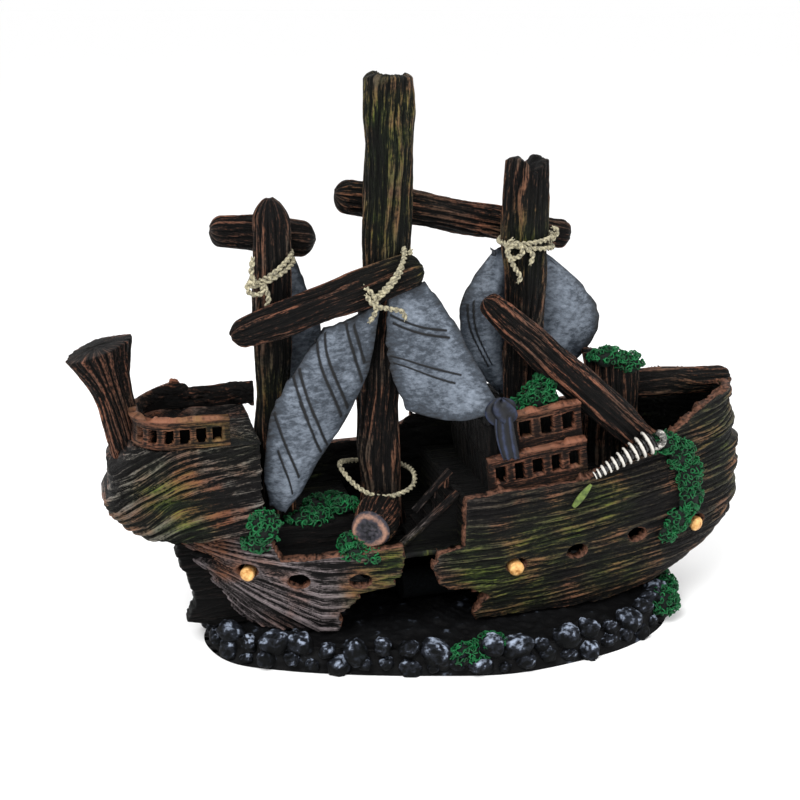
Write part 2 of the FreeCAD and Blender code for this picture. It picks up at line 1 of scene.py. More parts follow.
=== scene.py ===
# %% [markdown]
# # A wrecked galleon for the fish tank
#
# The ornament is cast in resin, carved all over with deep wood grain, painted nearly
# black and then dry-brushed: a nearly dry brush of copper brown is dragged over it, so
# that only the crests take the colour.  Everything here follows from that.  Each piece
# is a numpy surface with its grain cut into the mesh, and it carries three attributes
# for the paint: where the grain runs, how high each point stands, and where green lies.
#
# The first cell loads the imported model, which fixes every size and place.  Lengths in
# this lesson are millimetres, and only make_piece turns them to Blender's metres.

# %% Load the model
import math
import bpy
import numpy as np
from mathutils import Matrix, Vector


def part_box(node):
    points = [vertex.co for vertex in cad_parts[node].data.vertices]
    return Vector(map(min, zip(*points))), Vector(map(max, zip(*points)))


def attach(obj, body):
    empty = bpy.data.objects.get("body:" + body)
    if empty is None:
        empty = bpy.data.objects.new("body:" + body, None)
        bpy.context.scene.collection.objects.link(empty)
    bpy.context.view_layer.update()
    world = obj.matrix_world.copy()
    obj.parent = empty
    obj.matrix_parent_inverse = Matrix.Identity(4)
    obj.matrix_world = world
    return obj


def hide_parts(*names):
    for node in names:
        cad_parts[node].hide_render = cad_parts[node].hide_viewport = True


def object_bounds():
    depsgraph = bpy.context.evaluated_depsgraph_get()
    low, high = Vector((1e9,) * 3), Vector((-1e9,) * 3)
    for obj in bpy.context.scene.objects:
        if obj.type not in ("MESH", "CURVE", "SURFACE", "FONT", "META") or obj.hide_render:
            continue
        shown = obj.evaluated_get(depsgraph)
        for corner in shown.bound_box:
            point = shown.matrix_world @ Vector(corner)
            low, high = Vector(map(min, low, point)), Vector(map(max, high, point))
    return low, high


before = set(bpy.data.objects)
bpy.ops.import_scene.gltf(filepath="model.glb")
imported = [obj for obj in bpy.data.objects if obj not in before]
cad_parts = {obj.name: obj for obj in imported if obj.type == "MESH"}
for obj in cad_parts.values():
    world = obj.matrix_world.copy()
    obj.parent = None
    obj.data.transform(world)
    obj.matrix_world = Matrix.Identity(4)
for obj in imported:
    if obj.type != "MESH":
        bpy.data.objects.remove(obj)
CAD_LOW, CAD_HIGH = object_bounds()
print("model box, mm:", [round(v * 1000, 1) for v in (*CAD_LOW, *CAD_HIGH)])

# %% [markdown]
# ## Shapes as arrays
# A shape is a dictionary of arrays: its points in millimetres, its faces, the grain
# coordinates and the ridge height at each point.  A grid of rows and columns gives the
# faces at once, and a closed shape gets a pole at each end.
# A shape could also be built with Blender's own primitives and sculpted, but an array
# keeps every point's place in the grain, which the paint needs.

# %% Grids, poles and joining
MM = 0.001


def grid_faces(rows, columns, closed):
    """Quads of a grid: each cell joins a point, the next across, and the two above them."""
    row = np.arange(rows - 1)[:, None] * columns
    column = np.arange(columns if closed else columns - 1)[None, :]
    after = (column + 1) % columns
    corners = [row + column, row + after, row + columns + after, row + columns + column]
    return np.stack(np.broadcast_arrays(*corners), -1).reshape(-1, 4)


def as_shape(points, grain, ridge, closed=False, poles=False):
    """A grid of points as a shape; poles closes the first and the last row with a fan."""
    rows, columns = points.shape[:2]
    quads = grid_faces(rows, columns, closed)
    flat = points.reshape(-1, 3)
    grain = grain.reshape(-1, 3)
    ridge = ridge.reshape(-1)
    tris = np.zeros((0, 3), int)
    if poles:
        last = (rows - 1) * columns
        ring = np.arange(columns)
        after = (ring + 1) % columns
        south = np.full(columns, len(flat))
        tris = np.concatenate([np.stack([south, after, ring], 1),
                               np.stack([south + 1, last + ring, last + after], 1)])
        flat = np.concatenate([flat, [points[0].mean(0)], [points[-1].mean(0)]])
        grain = np.concatenate([grain, grain[:1], grain[-1:]])
        ridge = np.concatenate([ridge, [ridge[:columns].mean()], [ridge[-columns:].mean()]])
    return {"points": flat, "quads": quads, "tris": tris, "grain": grain, "ridge": ridge}


def joined(shapes):
    """Several shapes as one: their arrays end to end, with the face numbers moved along."""
    starts = np.cumsum([0] + [len(s["points"]) for s in shapes[:-1]])
    together = {key: np.concatenate([s[key] for s in shapes])
                for key in ("points", "grain", "ridge")}
    for key in ("quads", "tris"):
        together[key] = np.concatenate([s[key] + start for s, start in zip(shapes, starts)])
    return together


def normals_of(points, closed):
    """Unit normals of a grid: the step across crossed with the step up."""
    if closed:
        across = np.roll(points, -1, 1) - np.roll(points, 1, 1)
    else:
        across = np.gradient(points, axis=1)
    up = np.gradient(points, axis=0)
    normal = np.cross(across, up)
    return normal / np.maximum(np.linalg.norm(normal, axis=-1, keepdims=True), 1e-9)


# %% Smooth lines and balls
def smooth_line(points, count, closed=False):
    """A Catmull-Rom curve through points: a cubic whose slope at each point is half the
    step from the point before to the point after."""
    p = np.asarray(points, float)
    n = len(p)
    t = np.linspace(0, n if closed else n - 1, count, endpoint=not closed)
    i = np.minimum(t.astype(int), n - 1 if closed else n - 2)
    f = (t - i).reshape((-1,) + (1,) * (p.ndim - 1))
    if closed:
        a, b, c, d = (p[(i + k) % n] for k in (-1, 0, 1, 2))
    else:
        q = np.concatenate([2 * p[:1] - p[1:2], p, 2 * p[-1:] - p[-2:-1]])
        a, b, c, d = (q[i + k] for k in (0, 1, 2, 3))
    return 0.5 * (2 * b + (c - a) * f + (2 * a - 5 * b + 4 * c - d) * f**2
                  + (3 * b - a - 3 * c + d) * f**3)


def evenly(line, step, closed=False):
    """The same line with its points a fixed step apart, by length along it."""
    if closed:
        line = np.concatenate([line, line[:1]])
    length = np.concatenate([[0], np.cumsum(np.linalg.norm(np.diff(line, axis=0), axis=1))])
    count = max(4, int(length[-1] / step) + 1)
    at = np.linspace(0, length[-1], count, endpoint=not closed)
    return np.stack([np.interp(at, length, line[:, k]) for k in range(line.shape[1])], 1)


def unit_ball(rows, columns, gap):
    """A ball of radius one by latitude and longitude, with those angles: the point is
    (sin lat cos lon, sin lat sin lon, -cos lat), and gap leaves room for the poles."""
    lat = np.linspace(gap, np.pi - gap, rows)[:, None]
    lon = np.linspace(0, 2 * np.pi, columns, endpoint=False)[None, :]
    unit = np.stack([np.sin(lat) * np.cos(lon), np.sin(lat) * np.sin(lon),
                     -np.cos(lat) + 0 * lon], -1)
    return unit, lat, lon


print("a grid of 3 rows and 4 columns has", len(grid_faces(3, 4, False)), "quads")

# %% [markdown]
# ## Carved grain
# The sculptor cuts old wood as long strands side by side.  Each strand is an arch across
# its breadth, with a height of its own that swells and sinks along it, and slow noise
# bends them all, so that they wander, part and join.  Finer strands lie on the broad ones.
# A bump map would be quicker, but these cracks are 2 mm deep and show in the outline, so
# they are cut into the mesh.

# %% Noise and carving
def lattice(cell, seed):
    """A value from 0 to 1 for each whole-number cell, by mixing its three numbers."""
    x, y, z = (cell[..., k].astype(np.int64).astype(np.uint32) for k in range(3))
    h = x * np.uint32(374761393) + y * np.uint32(668265263) + z * np.uint32(2246822519)
    h = h + np.uint32((seed * 97 + 13) * 3266489917 % 2**32)
    h = (h ^ (h >> np.uint32(15))) * np.uint32(2654435761)
    h = (h ^ (h >> np.uint32(13))) * np.uint32(1274126177)
    return ((h ^ (h >> np.uint32(16))) & np.uint32(65535)) / 65535.0


def noise(p, seed=0):
    """Value noise: each point blends the values of its cell's eight corners, smoothly."""
    cell = np.floor(p)
    f = p - cell
    f = f * f * (3 - 2 * f)
    total = 0.0
    for i in (0, 1):
        for j in (0, 1):
            for k in (0, 1):
                weight = (np.where(i, f[..., 0], 1 - f[..., 0]) * np.where(j, f[..., 1], 1 - f[..., 1])
                          * np.where(k, f[..., 2], 1 - f[..., 2]))
                total = total + weight * lattice(cell + np.array([i, j, k]), seed)
    return total


# %% Strands of grain
def strands(across, along, count, seed, length):
    """Strands of unit breadth: an arch over each, 0 in the groove, times a height of its own
    that noise varies along it.  count makes them meet where the surface closes."""
    number = np.floor(across)
    place = across - number
    arch = (4 * place * (1 - place)) ** 0.7
    own = np.mod(number, count) if count else number
    tall = noise(np.stack([along / length + 3.7 * own, own, 0 * own], -1), seed)
    return arch * (0.42 + 0.8 * tall)


BROAD_SHARE, FINE_SHARE, CHIP_SHARE = 0.62, 0.36, 0.14
CHIP_SIZE = [2.2, 1.1, 1.1]


def carved(grain, spacing, seed, length=24.0, unrolled=None, girth=0.0):
    """Height of carved wood from 0 to 1: strands a spacing wide that swell over a length.
    unrolled is the distance round a timber of that girth; a flat piece needs neither."""
    slow = noise(grain / [length * 1.3, 4 * spacing, 4 * spacing], seed) - 0.5
    quick = noise(grain / [length * 0.4, 1.8 * spacing, 1.8 * spacing], seed + 1) - 0.5
    if unrolled is None:
        count, across = 0, (grain[..., 1] + grain[..., 2]) / spacing
    else:
        count = round(girth / spacing)
        across = unrolled / girth * count + 0 * slow
    bent = across + 1.9 * slow + 0.8 * quick
    broad = strands(bent, grain[..., 0], count, seed + 2, length)
    fine = strands(2 * bent + 1.2 * quick + 0.4, grain[..., 0], 2 * count, seed + 3, length * 0.5)
    chips = noise(grain / CHIP_SIZE, seed + 4)
    return np.clip(BROAD_SHARE * broad + FINE_SHARE * fine + CHIP_SHARE * chips, 0, 1)


sample = carved(np.random.default_rng(1).uniform(0, 99, (500, 3)), 3.0, 1)
print("carved heights run from", sample.min().round(2), "to", sample.max().round(2))


# %% [markdown]
# ## Green wash
# The painter dabs thin green on a few places, as if algae grew there.  It could be a mask
# painted by hand, but a short list of places, each with a reach and a strength, gives the
# same on every run, and noise breaks up their edges.

# %% Patches of green wash, as (x, y, z, reach in mm, strength)
WASH_SPOTS = np.array([
    (-100, -24, 72, 10, 0.8), (-108, -12, 62, 10, 0.6), (-94, -24, 62, 9, 0.8),
    (-22, -30, 38, 9, 1.0), (-28, -28, 27, 9, 0.9), (-12, -32, 43, 6, 0.8),
    (8, -34, 41, 9, 0.9), (14, -31, 31, 10, 1.0), (36, -34, 40, 15, 0.7),
    (62, -34, 54, 11, 0.8), (46, -35, 47, 10, 0.75), (28, -30, 22, 16, 0.6),
    (70, -30, 24, 18, 0.4), (112, -18, 70, 20, 0.45), (124, -8, 55, 16, 0.4),
    (-14, -8, 192, 22, 0.6), (-15, -9, 160, 14, 0.55), (-3, -17, 147, 6, 0.7),
    (38, -8, 150, 12, 0.5), (-58, -6, 100, 12, 0.3), (-80, -20, 97, 14, 0.4),
    (-60, 30, 50, 20, 0.6), (30, 34, 40, 22, 0.7), (90, 25, 55, 20, 0.6),
])

WASH_SIZE = [7.0, 5.0, 3.0]


def wash_at(points):
    """How much green lies at each point: the nearest patch's bell curve, broken up by noise."""
    gap = np.linalg.norm(points[:, None, :] - WASH_SPOTS[None, :, :3], axis=2)
    most = (np.exp(-(gap / WASH_SPOTS[:, 3]) ** 2) * WASH_SPOTS[:, 4]).max(1)
    return np.clip(most * (0.2 + 1.3 * noise(points / WASH_SIZE, 91)), 0, 1)


print(len(WASH_SPOTS), "patches of green")

# %% [markdown]
# ## Making a Blender piece
# One function turns a shape into an object at the origin, in metres.  It keeps every
# point inside the model's box, writes the three attributes that the paint reads, and ties
# the piece to the ship's only body.  A thin piece is a sheet that Solidify makes a wall:
# the wall's inside takes the last material, and its edge the middle one of three.

# %% Pieces
BOX_MARGIN = 0.02


def make_piece(name, shape, materials, nodes, thickness=0.0):
    """A Blender object from a shape, in metres, riding on the ship, standing for CAD nodes."""
    used, order = np.unique(np.concatenate([shape["quads"].ravel(), shape["tris"].ravel()]),
                            return_inverse=True)
    low = np.array(CAD_LOW) / MM + BOX_MARGIN
    high = np.array(CAD_HIGH) / MM - BOX_MARGIN
    points = np.clip(shape["points"][used], low, high)
    corners = len(shape["quads"]) * 4
    sizes = np.concatenate([np.full(len(shape["quads"]), 4), np.full(len(shape["tris"]), 3)])
    starts = np.concatenate([np.arange(len(shape["quads"])) * 4,
                             corners + np.arange(len(shape["tris"])) * 3])
    mesh = bpy.data.meshes.new(name)
    mesh.vertices.add(len(points))
    mesh.vertices.foreach_set("co", (points * MM).astype(np.float32).ravel())
    mesh.loops.add(len(order))
    mesh.loops.foreach_set("vertex_index", order.astype(np.int32).ravel())
    mesh.polygons.add(len(sizes))
    mesh.polygons.foreach_set("loop_start", starts.astype(np.int32))
    mesh.update(calc_edges=True)
    mesh.validate()
    mesh.shade_smooth()
    for key, kind, value in (("grain", "FLOAT_VECTOR", shape["grain"][used]),
                             ("ridge", "FLOAT", shape["ridge"][used]),
                             ("wash", "FLOAT", wash_at(points))):
        field = "vector" if kind == "FLOAT_VECTOR" else "value"
        layer = mesh.attributes.new(key, kind, "POINT")
        layer.data.foreach_set(field, value.astype(np.float32).ravel())
    for material in materials:
        mesh.materials.append(material)
    piece = bpy.data.objects.new(name, mesh)
    bpy.context.scene.collection.objects.link(piece)
    if thickness:
        wall = piece.modifiers.new("wall", "SOLIDIFY")
        wall.thickness = thickness * MM
        wall.offset = -1.0
        wall.material_offset = len(materials) - 1
        wall.material_offset_rim = 1 if len(materials) > 2 else 0
    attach(piece, "root")
    if nodes:
        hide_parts(*nodes)
    print(f"{name}: {len(sizes)} faces")
    return piece


# %% [markdown]
# ## Paint
# Every finish is acrylic craft paint on polyurethane resin, so the index is about 1.5, and
# it is nearly matt.  A picture of wood could be wrapped round each piece, but it would
# stretch over the carving.  The paint is worked out from the carving instead, as the
# painter does it: black in the cracks, umber on the slopes, and copper brown on the
# crests, where the dry brush touched.

# %% Colour and node helpers
def linear(code):
    """An sRGB hex colour as linear red, green, blue and full alpha."""
    parts = [int(code[i:i + 2], 16) / 255 for i in (1, 3, 5)]
    return (*[c / 12.92 if c <= 0.04045 else ((c + 0.055) / 1.055) ** 2.4 for c in parts], 1.0)


def add(tree, kind, inputs=None, stops=None, **settings):
    """A shader node with its settings, its inputs as values or links, and a ramp's stops."""
    node = tree.nodes.new(kind)
    for key, value in settings.items():
        setattr(node, key, value)
    for key, value in (inputs or {}).items():
        if isinstance(value, bpy.types.NodeSocket):
            tree.links.new(value, node.inputs[key])
        else:
            node.inputs[key].default_value = value
    for i, (position, colour) in enumerate(stops or []):
        ramp = node.color_ramp.elements
        stop = ramp[i] if i < 2 else ramp.new(position)
        stop.position = position
        stop.color = linear(colour)
    return node


def new_material(name):
    """An empty node material and its tree."""
    material = bpy.data.materials.new(name)
    material.use_nodes = True
    material.node_tree.nodes.clear()
    return material, material.node_tree


def shade(tree, inputs, height, depth_mm):
    """The principled shader with a bump of the given depth, sent to the output."""
    bump = add(tree, "ShaderNodeBump", {"Height": height, "Strength": 1.0,
                                        "Distance": depth_mm * MM})
    shader = add(tree, "ShaderNodeBsdfPrincipled", {**inputs, "Normal": bump.outputs[0]})
    add(tree, "ShaderNodeOutputMaterial", {"Surface": shader.outputs[0]})


print("copper brown, linear:", [round(c, 3) for c in linear("#8c5f49")[:3]])

# %% [markdown]
# ## Dry-brushed wood
# One material recipe serves all the wood.  Noise stretched along the grain draws the
# fibres, which lift or lower the point on the ramp, so the crest colour breaks up into
# short strokes.  Slower noise shares the crests out between two colours, since the
# painter used a copper brush and a grey one.  Green goes on last.

# %% Painted wood
FIBRES_PER_MM = (0.12, 2.4, 2.4)      # a fibre is 8 mm long and 0.4 mm wide
PATCHES_PER_METRE = 55.0              # a patch of worn colour is 18 mm across
SPECKS_PER_METRE = 900.0              # 1.1 mm: the real specks are finer than would show
FIBRE_LIFT, PATCH_LIFT, SPECK_LIFT, LEVEL_DROP = 0.62, 0.4, 0.5, 0.8
FIBRE_BUMP_MM = 0.45
RAMP_LOW, RAMP_MIDDLE, RAMP_HIGH = 0.22, 0.66, 1.0
GREEN_STOPS = [(0.2, "#040603"), (1.0, "#66722f"), (0.64, "#1b2712")]
TURN_AFT, TURN_FORE, FORE_DROP = -0.045, 0.02, -0.17


def painted_wood(name, shadow, body, crest, worn, reach=0.0, fore=None):
    """Dry-brushed resin wood.  The level on the ramp is the ridge height plus shares of the
    fibres, patches and specks, less a fixed drop; reach is how much further down the brush
    went.  Patches turn the crest colour to the worn one.  fore is a third crest colour that
    takes over between two stations, in metres, where the brush was also drier."""
    material, tree = new_material(name)
    grain = add(tree, "ShaderNodeAttribute", attribute_name="grain").outputs["Vector"]
    ridge = add(tree, "ShaderNodeAttribute", attribute_name="ridge").outputs["Fac"]
    wash = add(tree, "ShaderNodeAttribute", attribute_name="wash").outputs["Fac"]
    place = add(tree, "ShaderNodeTexCoord").outputs["Object"]
    along = add(tree, "ShaderNodeMapping", {"Vector": grain, "Scale": FIBRES_PER_MM})
    drawn = add(tree, "ShaderNodeTexNoise", {"Vector": along.outputs[0], "Scale": 1.0,
                                             "Detail": 5.0, "Roughness": 0.72}).outputs[0]
    fibre = add(tree, "ShaderNodeMapRange", {0: drawn, 1: 0.34, 2: 0.66}).outputs[0]
    patch = add(tree, "ShaderNodeTexNoise", {"Vector": place, "Scale": PATCHES_PER_METRE,
                                             "Detail": 3.0}).outputs[0]
    speck = add(tree, "ShaderNodeTexNoise", {"Vector": place, "Scale": SPECKS_PER_METRE,
                                             "Detail": 2.0}).outputs[0]
    level = ridge
    for mark, lift in ((fibre, FIBRE_LIFT), (patch, PATCH_LIFT), (speck, SPECK_LIFT)):
        level = add(tree, "ShaderNodeMath", {0: mark, 1: lift, 2: level},
                    operation="MULTIPLY_ADD").outputs[0]
    level = add(tree, "ShaderNodeMath", {0: level, 1: LEVEL_DROP - reach},
                operation="SUBTRACT").outputs[0]
    if fore:
        apart = add(tree, "ShaderNodeSeparateXYZ", {0: place})
        forward = add(tree, "ShaderNodeMapRange",
                      {0: apart.outputs[0], 1: TURN_AFT, 2: TURN_FORE}).outputs[0]
        level = add(tree, "ShaderNodeMath", {0: forward, 1: FORE_DROP, 2: level},
                    operation="MULTIPLY_ADD").outputs[0]
    tones = [add(tree, "ShaderNodeValToRGB", {0: level},
                 [(RAMP_LOW, shadow), (RAMP_HIGH, top), (RAMP_MIDDLE, body)]).outputs[0]
             for top in (crest, worn, fore or crest)]
    if fore:
        tones[0] = add(tree, "ShaderNodeMix", {0: forward, 6: tones[0], 7: tones[2]},
                       data_type="RGBA").outputs[2]
    turn = add(tree, "ShaderNodeMapRange", {0: patch, 1: 0.46, 2: 0.62})
    paint = add(tree, "ShaderNodeMix", {0: turn.outputs[0], 6: tones[0], 7: tones[1]},
                data_type="RGBA")
    green = add(tree, "ShaderNodeValToRGB", {0: level}, GREEN_STOPS)
    thin = add(tree, "ShaderNodeMath", {0: wash, 1: fibre}, operation="MULTIPLY")
    cover = add(tree, "ShaderNodeMath", {0: thin.outputs[0], 1: 1.5}, operation="MULTIPLY",
                use_clamp=True)
    colour = add(tree, "ShaderNodeMix", {0: cover.outputs[0], 6: paint.outputs[2],
                                         7: green.outputs[0]}, data_type="RGBA")
    rough = add(tree, "ShaderNodeMapRange", {0: level, 3: 0.75, 4: 0.5})
    shade(tree, {"Base Color": colour.outputs[2], "Roughness": rough.outputs[0], "IOR": 1.5,
                 "Specular IOR Level": 0.14}, fibre, FIBRE_BUMP_MM)
    return material


# %% Six wood paints
# Hull planks: grey brush over copper aft, so the stern looks bleached, turning to a dry
# olive brown towards the bow, which looks wet and old.
HULL_PAINT = painted_wood("dry_brushed_hull_resin", "#030203", "#110e0e", "#8b8081",
                          "#8c5f49", 0.09, "#4a4236")
# Castle planks: stone grey crests with copper patches, a little duller than the hull.
CASTLE_PAINT = painted_wood("dry_brushed_castle_resin", "#030202", "#0d0b0b", "#7c766f",
                            "#85553f", 0.0)
# Masts: thin copper strokes over near black, so that they look charred and tall.
MAST_PAINT = painted_wood("dry_brushed_mast_resin", "#020202", "#0c0908", "#7e5743",
                          "#55483d", -0.07)
# Yards, spars and stern post: the warmest and reddest strokes, like fresh splits.
SPAR_PAINT = painted_wood("dry_brushed_spar_resin", "#020202", "#0e0a08", "#8a5a45",
                          "#62493c", -0.08)
# Windowed rails: browner and more evenly brushed, so that they read as worked timber.
JOINERY_PAINT = painted_wood("dry_brushed_joinery_resin", "#040302", "#1b110d", "#7a4f3c",
                             "#57402f", 0.02)
# Decks and inside walls: black wash with hardly a stroke, kept darker than the outside as partly
# painted shade, so that the inside stays deep.
DECK_AND_SHADE_PAINT = painted_wood("dark_deck_resin_and_painted_shade", "#020202", "#060505", "#251b17", "#1b1715",
                          -0.14)
print("six wood paints")


# %% [markdown]
# ## Plain paints
# Gold and weed are one craft colour each, and the black behind the windows is one colour of painted
# shadow, yet a brush never leaves them flat: noise as wide as the brush's marks moves between two
# close tones and gives a faint relief.  The moss, the twine and the air parts aren't painted, but the
# same two tones stand for the thread, fibre and moulded grain; the dark under the moss and the near
# black of the air stone are painted shade.

# %% Interior black, gold, moss, weed
def plain_paint(name, dark, light, grain_mm, depth_mm, roughness, metallic=0.0, gloss=0.3):
    """Two close tones by noise whose scale is one over the mark's size in metres, which
    also gives a bump of depth_mm."""
    material, tree = new_material(name)
    place = add(tree, "ShaderNodeTexCoord").outputs["Object"]
    marks = add(tree, "ShaderNodeTexNoise", {"Vector": place, "Scale": 1000.0 / grain_mm,
                                             "Detail": 4.0, "Roughness": 0.6}).outputs[0]
    colour = add(tree, "ShaderNodeValToRGB", {0: marks}, [(0.35, dark), (0.68, light)])
    shade(tree, {"Base Color": colour.outputs[0], "Roughness": roughness, "Metallic": metallic,
                 "Specular IOR Level": gloss}, marks, depth_mm)
    return material


# Matt black paint as painted shadow behind the windows: it swallows the light, so that the windows
# look empty.
PAINTED_SHADOW_BLACK = plain_paint("painted_shadow_matt_black", "#020202", "#060504", 3.0, 0.1, 0.9, gloss=0.05)
# Copper brown brushed along a broken edge: draws a warm line round the openings.
RAIL_PAINT = plain_paint("copper_brushed_edge", "#120c09", "#75503f", 1.6, 0.2, 0.65,
                         gloss=0.14)
# Gold craft paint with mica: bright and a third metal, the only glint on the hull.
GOLD_PAINT = plain_paint("brushed_gold_paint", "#a8733a", "#edbf7c", 2.2, 0.35, 0.42, 0.35)
# Curled polyethylene moss: saturated green thread with a soft plastic shine.
MOSS_FLOCK = plain_paint("green_curled_moss", "#02210f", "#0d6c38", 2.5, 0.05, 0.6)
# Painted shadow under the moss, over its glue: nearly black green, so that the lace stands out.
MOSS_SHADE = plain_paint("moss_painted_shade_underlayer", "#010302", "#02130a", 1.6, 0.3, 0.8)
# Olive acrylic on the leaf: a yellower, duller green than the moss.
WEED_PAINT = plain_paint("olive_weed_paint", "#33421a", "#6b7d3a", 2.0, 0.1, 0.55)
# Cotton twine: dry, cream on its strands and grey where dust lies between them.
TWINE_FIBRE = plain_paint("cream_twine_fibre", "#58544a", "#bab294", 0.9, 0.15, 0.8)
# Moulded black nylon: even, with the slight sheen of a smooth mould.
FITTING_PLASTIC = plain_paint("black_nylon_fitting", "#101113", "#1c1e21", 1.0, 0.02, 0.35)
# Bonded mineral grit: rough, and painted near black as painted shade, so that it is lost in the shade
# of the hold.
AIR_GRIT_PAINTED_SHADE = plain_paint("air_stone_grit_in_painted_shade", "#040506", "#0c1013", 0.8, 0.3, 0.9,
                       gloss=0.1)
print("nine plain paints")


# %% [markdown]
# ## Dry-brushed sails, stones and shell
# These have no grain, so the brush drags pale strokes over whatever stands up.  Stretched noise gives
# the strokes, slow noise the cloudy patches, and both are added to the ridge height before the ramp.
# On the shell the pale rib crests are partly painted highlight.

# %% Sails, drape, stone and shell
CLOUDS_PER_METRE = 75.0               # a cloud is 13 mm across
BRUSH_TURN = (0.0, 0.6, 0.3)
STROKE_LIFT, CLOUD_LIFT, BRUSH_DROP = 1.3, 0.35, 0.82


def dry_brushed(name, shadow, body, crest, streak_mm, depth_mm, roughness,
                ramp=(0.1, 0.5, 0.95), drag=1.2, gloss=0.3):
    """Paint that reads the ridge height: the level is the ridge plus shares of the strokes
    and the clouds, less a fixed drop, and a ramp turns it to shadow, body and crest."""
    material, tree = new_material(name)
    ridge = add(tree, "ShaderNodeAttribute", attribute_name="ridge").outputs["Fac"]
    place = add(tree, "ShaderNodeTexCoord").outputs["Object"]
    turned = add(tree, "ShaderNodeMapping", {"Vector": place, "Rotation": BRUSH_TURN,
                                             "Scale": (1.0, 1.0, drag)})
    strokes = add(tree, "ShaderNodeTexNoise",
                  {"Vector": turned.outputs[0], "Scale": 1000.0 / streak_mm,
                   "Detail": 6.0, "Roughness": 0.7}).outputs[0]
    cloud = add(tree, "ShaderNodeTexNoise", {"Vector": place, "Scale": CLOUDS_PER_METRE,
                                             "Detail": 2.0}).outputs[0]
    level = ridge
    for mark, lift in ((strokes, STROKE_LIFT), (cloud, CLOUD_LIFT)):
        level = add(tree, "ShaderNodeMath", {0: mark, 1: lift, 2: level},
                    operation="MULTIPLY_ADD").outputs[0]
    level = add(tree, "ShaderNodeMath", {0: level, 1: BRUSH_DROP}, operation="SUBTRACT")
    low, middle, high = ramp
    paint = add(tree, "ShaderNodeValToRGB", {0: level.outputs[0]},
                [(low, shadow), (high, crest), (middle, body)])
    shade(tree, {"Base Color": paint.outputs[0], "Roughness": roughness,
                 "Specular IOR Level": gloss}, strokes, depth_mm)
    return material


# Sails: blue grey acrylic, cloudy like old canvas, with near black in the cut seams.
SAIL_PAINT = dry_brushed("blue_grey_sail_resin", "#06070a", "#333a43", "#747d89", 2.6, 0.25,
                         0.62, drag=1.8)
# Gathered corner: indigo that catches light only along its folds.
DRAPE_PAINT = dry_brushed("indigo_drape_resin", "#030407", "#0d111b", "#273048", 3.0, 0.2,
                          0.6)
# Stones: black resin with a broken pale slate rub on top, so that each looks chipped.
STONE_PAINT = dry_brushed("slate_stone_resin", "#020304", "#1e2128", "#97a2b5", 1.5, 0.35,
                          0.75, (0.2, 0.58, 1.0), gloss=0.12)
# Bed: black resin with only a trace of slate, so that the stones stand out from it.
BED_PAINT = dry_brushed("black_bed_resin", "#020203", "#08090b", "#4d5461", 3.0, 0.4, 0.7,
                        (0.2, 0.75, 1.2), gloss=0.15)
# Shell: gloss varnish over pale ribs and black hollows, the one wet-looking surface; the pale rib
# crests are partly painted highlight.
SHELL_PAINT_AND_HIGHLIGHT = dry_brushed("ribbed_shell_gloss_and_painted_highlight", "#040404", "#55534f", "#c6c2ba", 2.0,
                          0.03, 0.22, (0.42, 0.58, 0.75), gloss=0.5)
# Cask head: a pale copper bead round a bruised grey board.
CASK_HEAD_PAINT = dry_brushed("dry_brushed_cask_head", "#101116", "#34323a", "#8f6c5b", 1.6,
                              0.2, 0.6)
print(len(bpy.data.materials), "materials")

# %% [markdown]
# ## The hull
# The hull is two hollow castings with planks carved all over.  A ship's side is a surface
# over its waterlines: at each height the half breadth is the half beam times a fullness
# curve from stern to stem.  It could be lofted through a few frames, but a formula gives
# a point anywhere, and the ports and guns need to ask it where the side is.

# %% Hull form
HULL_FOOT, HULL_TOP = 10.0, 90.0
HALF_BEAM, BEAM_LEVEL = 34.0, 60.0
AFT_POWER, AFT_ROOT = 2.6, 0.6
FORE_POWER, FORE_ROOT = 3.4, 0.5
STEM, STEM_LEVEL, TRANSOM = 134.0, 48.0, -97.0
CASTING_JOINT = -8.0


def stem_at(z):
    """Foremost point at a height: the stem, less a square below its level, where the bow
    rounds under, and less a power of 1.5 above it."""
    below = 36.0 * np.clip((STEM_LEVEL - z) / 38.0, 0, None) ** 2
    above = 8.0 * np.clip((z - STEM_LEVEL) / 45.0, 0, None) ** 1.5
    return STEM - below - above


def stern_at(z):
    """Sternmost point at a height: a straight line that rakes aft to the transom."""
    return np.maximum(TRANSOM, -75.0 - 0.63 * (z - HULL_FOOT))


def half_beam_at(z):
    """Half the breadth amidships: the beam less a parabola below and above its level."""
    return np.where(z < BEAM_LEVEL, HALF_BEAM - 7.0 * ((BEAM_LEVEL - z) / 48.0) ** 2,
                    HALF_BEAM - 2.0 * ((z - BEAM_LEVEL) / 35.0) ** 2)


def fullness(s):
    """Share of the beam at s from -1, stern, to 1, stem: (1 - |s|^power)^root."""
    power = np.where(s < 0, AFT_POWER, FORE_POWER)
    root = np.where(s < 0, AFT_ROOT, FORE_ROOT)
    return np.clip(1 - np.abs(s) ** power, 0, 1) ** root


def half_breadth(x, z):
    """Half the hull's breadth at a station and height."""
    aft, fore = stern_at(z), stem_at(z)
    return half_beam_at(z) * fullness(np.clip(2 * (x - aft) / (fore - aft) - 1, -1, 1))


print("breadth amidships:", round(2 * float(half_breadth(20.0, BEAM_LEVEL)), 1), "mm")

# %% [markdown]
# ### Broken edges and ports
# The near side is broken away from the sheer to the keel, so that the hold is open, and
# oval gun ports run along both sides.  A boolean cut would leave slivers in so fine a
# mesh.  Instead, each grid point learns how far it lies from the closest edge: cells
# inside a gap are left out, and points close to its edge are moved onto it.

